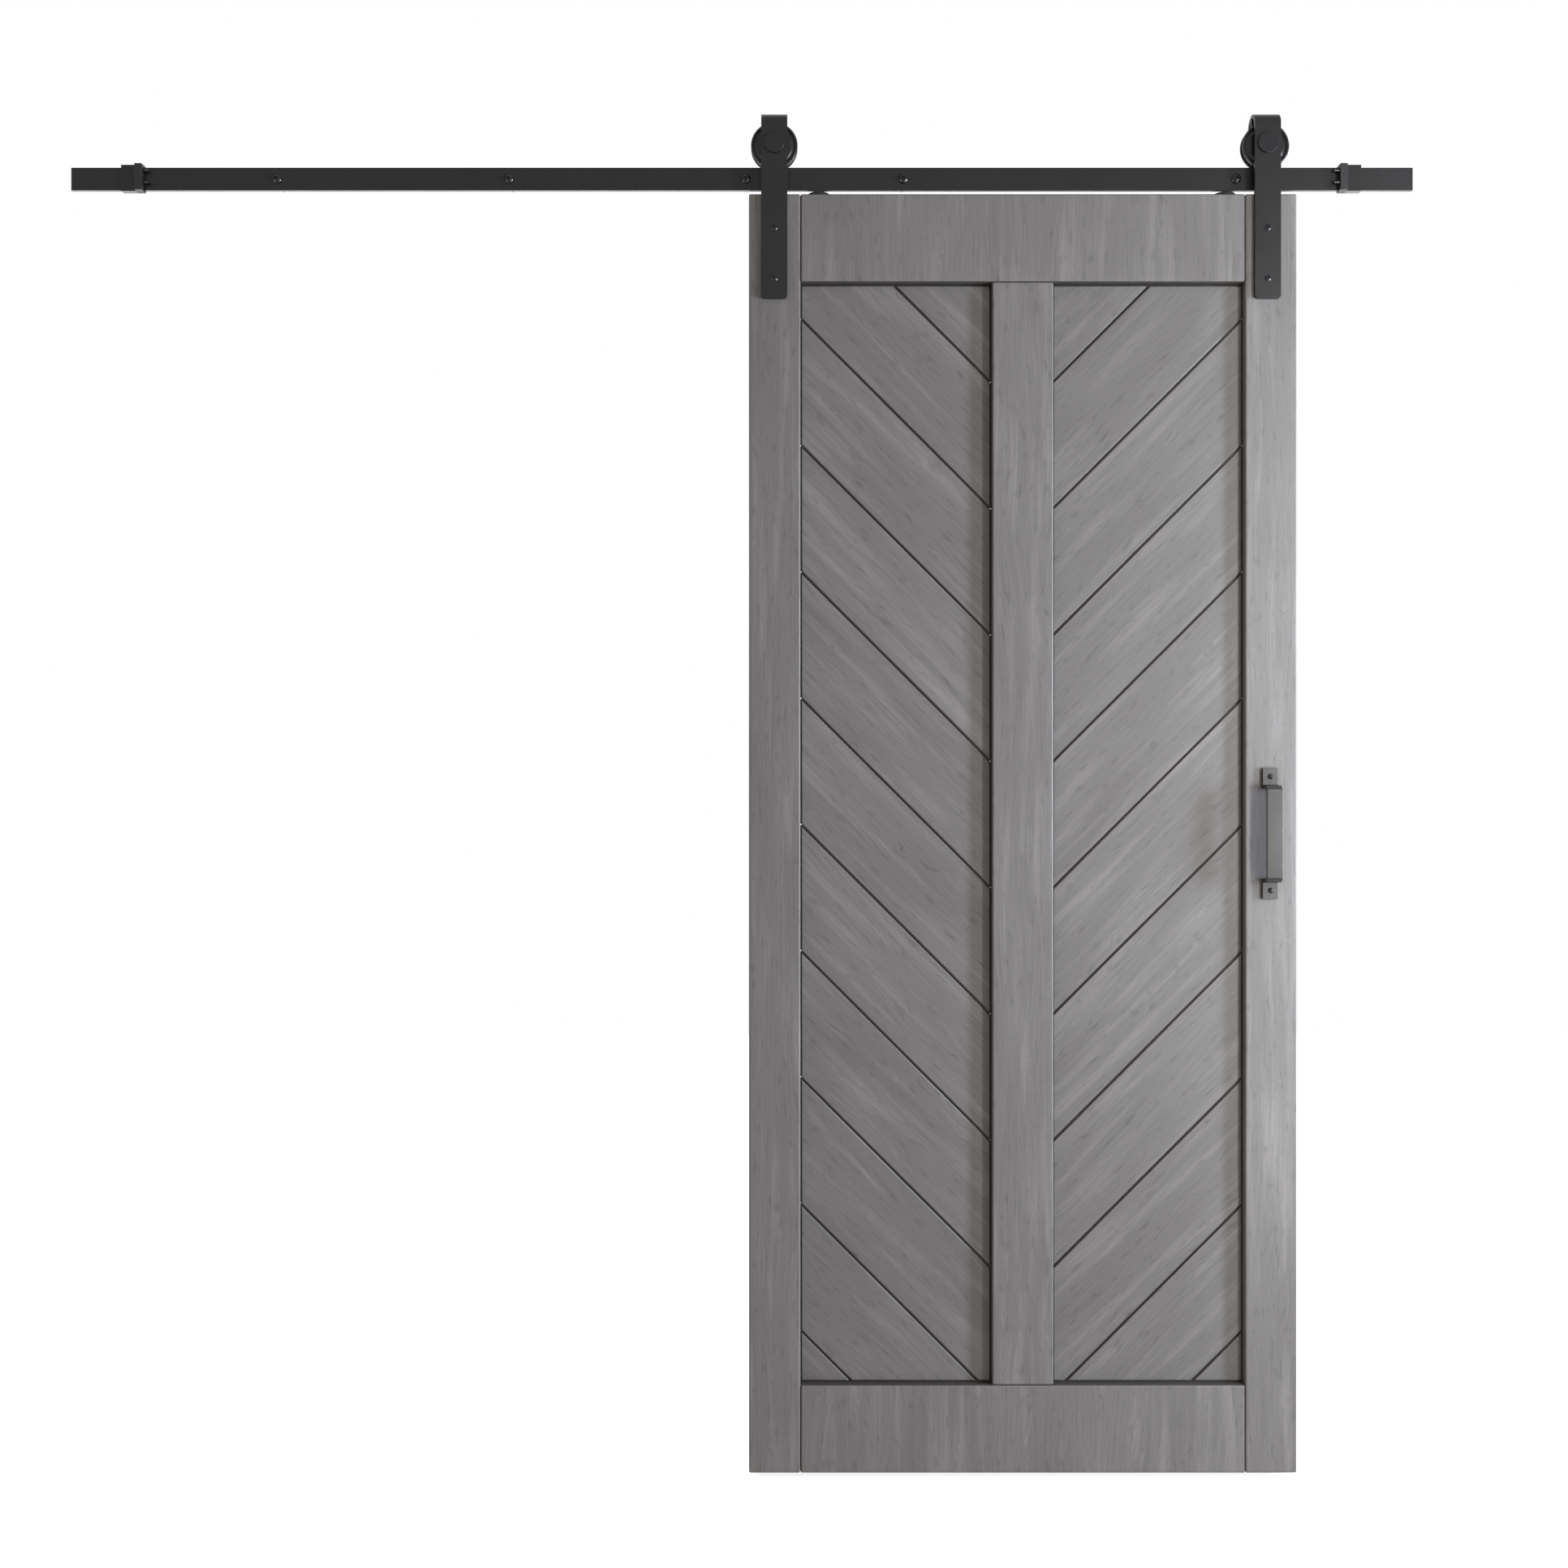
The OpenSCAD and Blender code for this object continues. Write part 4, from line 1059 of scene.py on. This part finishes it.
FLOOR_DROP = 12 * MM
FLOOR_SIZE = 9
STRIP_LENGTH = 3
STRIP_HEIGHT = 0.14
STRIP_DROP = 0.02
STRIP_OFF_WALL = 0.2 * MM
FOCAL_MM = 35
SENSOR_MM = 36


def add_light(name, place, aim, width, height, watts, colour):
    """Add an upright soft box that points at a spot."""
    lamp = bpy.data.lights.new(name, "AREA")
    lamp.shape = "RECTANGLE"
    lamp.size = width
    lamp.size_y = height
    lamp.energy = watts
    lamp.color = linear(colour)[:3]
    light = bpy.data.objects.new(name, lamp)
    bpy.context.collection.objects.link(light)
    light.location = place
    light.rotation_euler = (Vector(aim) - Vector(place)).to_track_quat("-Z", "Y").to_euler()
    return light


door_bottom = left_box[0].z
bpy.ops.object.select_all(action="DESELECT")
bpy.ops.mesh.primitive_plane_add(size=FLOOR_SIZE, location=(0, 0, door_bottom - FLOOR_DROP))
floor = settle("studio_floor")
paper, tree, place = new_material("matte white studio paper")
mottle = add_node(tree, "TexNoise", {"Vector": place, "Scale": 3, "Detail": 2})
tint = add_node(tree, "MixRGB", {
    "Fac": mottle.outputs["Fac"], "Color1": linear("#f1f1f1"), "Color2": linear("#f6f6f6")})
shader = add_node(tree, "BsdfPrincipled", {
    "Base Color": tint.outputs["Color"], "Roughness": 0.9, "Emission Color": (1, 1, 1, 1),
    "Emission Strength": 0.7})
add_node(tree, "OutputMaterial", {"Surface": shader.outputs["BSDF"]})
floor.data.materials.append(paper)
floor.visible_diffuse = False
floor.visible_glossy = False

# The wall isn't built, so a white strip stands in its plane behind the track. Only the camera
# sees it, and only from the front: from behind it is clear, and it neither shades nor reflects.
bpy.ops.object.select_all(action="DESELECT")
bpy.ops.mesh.primitive_plane_add(
    size=1, location=(0, STRIP_OFF_WALL, -STRIP_DROP), rotation=TO_FRONT)
bpy.context.object.scale = (STRIP_LENGTH, STRIP_HEIGHT, 1)
strip = settle("wall_plane_strip")
white_card, tree, _ = new_material("white card")
facing = add_node(tree, "NewGeometry")
white = add_node(tree, "Emission", {"Color": (1, 1, 1, 1)})
clear = add_node(tree, "BsdfTransparent")
card_face = add_node(tree, "MixShader", {
    0: facing.outputs["Backfacing"], 1: white.outputs[0], 2: clear.outputs[0]})
add_node(tree, "OutputMaterial", {"Surface": card_face.outputs[0]})
strip.data.materials.append(white_card)
for kind in ("diffuse", "glossy", "transmission", "volume_scatter", "shadow"):
    setattr(strip, f"visible_{kind}", False)

world = bpy.data.worlds.new("white surround")
bpy.context.scene.world = world
world.use_nodes = True
surround = world.node_tree
surround.nodes.clear()
ray = add_node(surround, "LightPath").outputs
ahead = add_node(surround, "TexCoord").outputs["Object"]
depth = add_node(surround, "SeparateXYZ", {0: ahead}).outputs["Y"]
behind = add_node(surround, "MapRange", {"Value": depth, "From Min": -0.1, "From Max": 0.2})
room = add_node(surround, "MixRGB", {
    "Fac": ray["Is Glossy Ray"], "Color1": linear("#b5aea7"), "Color2": linear("#c2c2c2")})
walls = add_node(surround, "MixRGB", {
    "Fac": behind.outputs["Result"], "Color1": room.outputs["Color"],
    "Color2": linear("#ffffff")})
sight = add_node(surround, "MixRGB", {
    "Fac": ray["Is Camera Ray"], "Color1": walls.outputs["Color"],
    "Color2": linear("#ffffff")})
glow = add_node(surround, "Background", {"Color": sight.outputs["Color"]})
add_node(surround, "OutputWorld", {"Surface": glow.outputs["Background"]})

add_light("near strip light", (1.4, -0.9, -0.95), (1.3, 0, -0.95), 0.2, 2.0, 16.5, "#ffffff")
add_light("far cool light", (3.9, -1.3, -0.9), (0.5, 0, -0.95), 0.5, 1.5, 186, "#e7ecff")
for name, place, aim, width, height, watts, colour in (
        ("handle card", (1.7, -2.5, -1.24), (0.88, 0, -1.1), 0.8, 0.9, 2.5, "#fff8f0"),
        ("warm left card", (-2.6, -1.3, -1.4), (0.4, 0, 0), 0.5, 1.5, 18, "#fff0e2"),
        ("card under the track", (0, 1, -0.42), (0, -0.05, -0.02), 4.5, 0.55, 24, "#ffffff")):
    card = add_light(name, place, aim, width, height, watts, colour)
    card.visible_diffuse = False
    card.visible_camera = False

camera = bpy.data.objects.new("camera", bpy.data.cameras.new("camera"))
bpy.context.collection.objects.link(camera)
camera.data.lens = FOCAL_MM
camera.data.sensor_width = SENSOR_MM
camera.location = (0.0639, -2.5945, -1.013)
camera.rotation_euler = (math.radians(90), 0, 0)
bpy.context.scene.camera = camera
bpy.context.scene.view_settings.view_transform = "Standard"
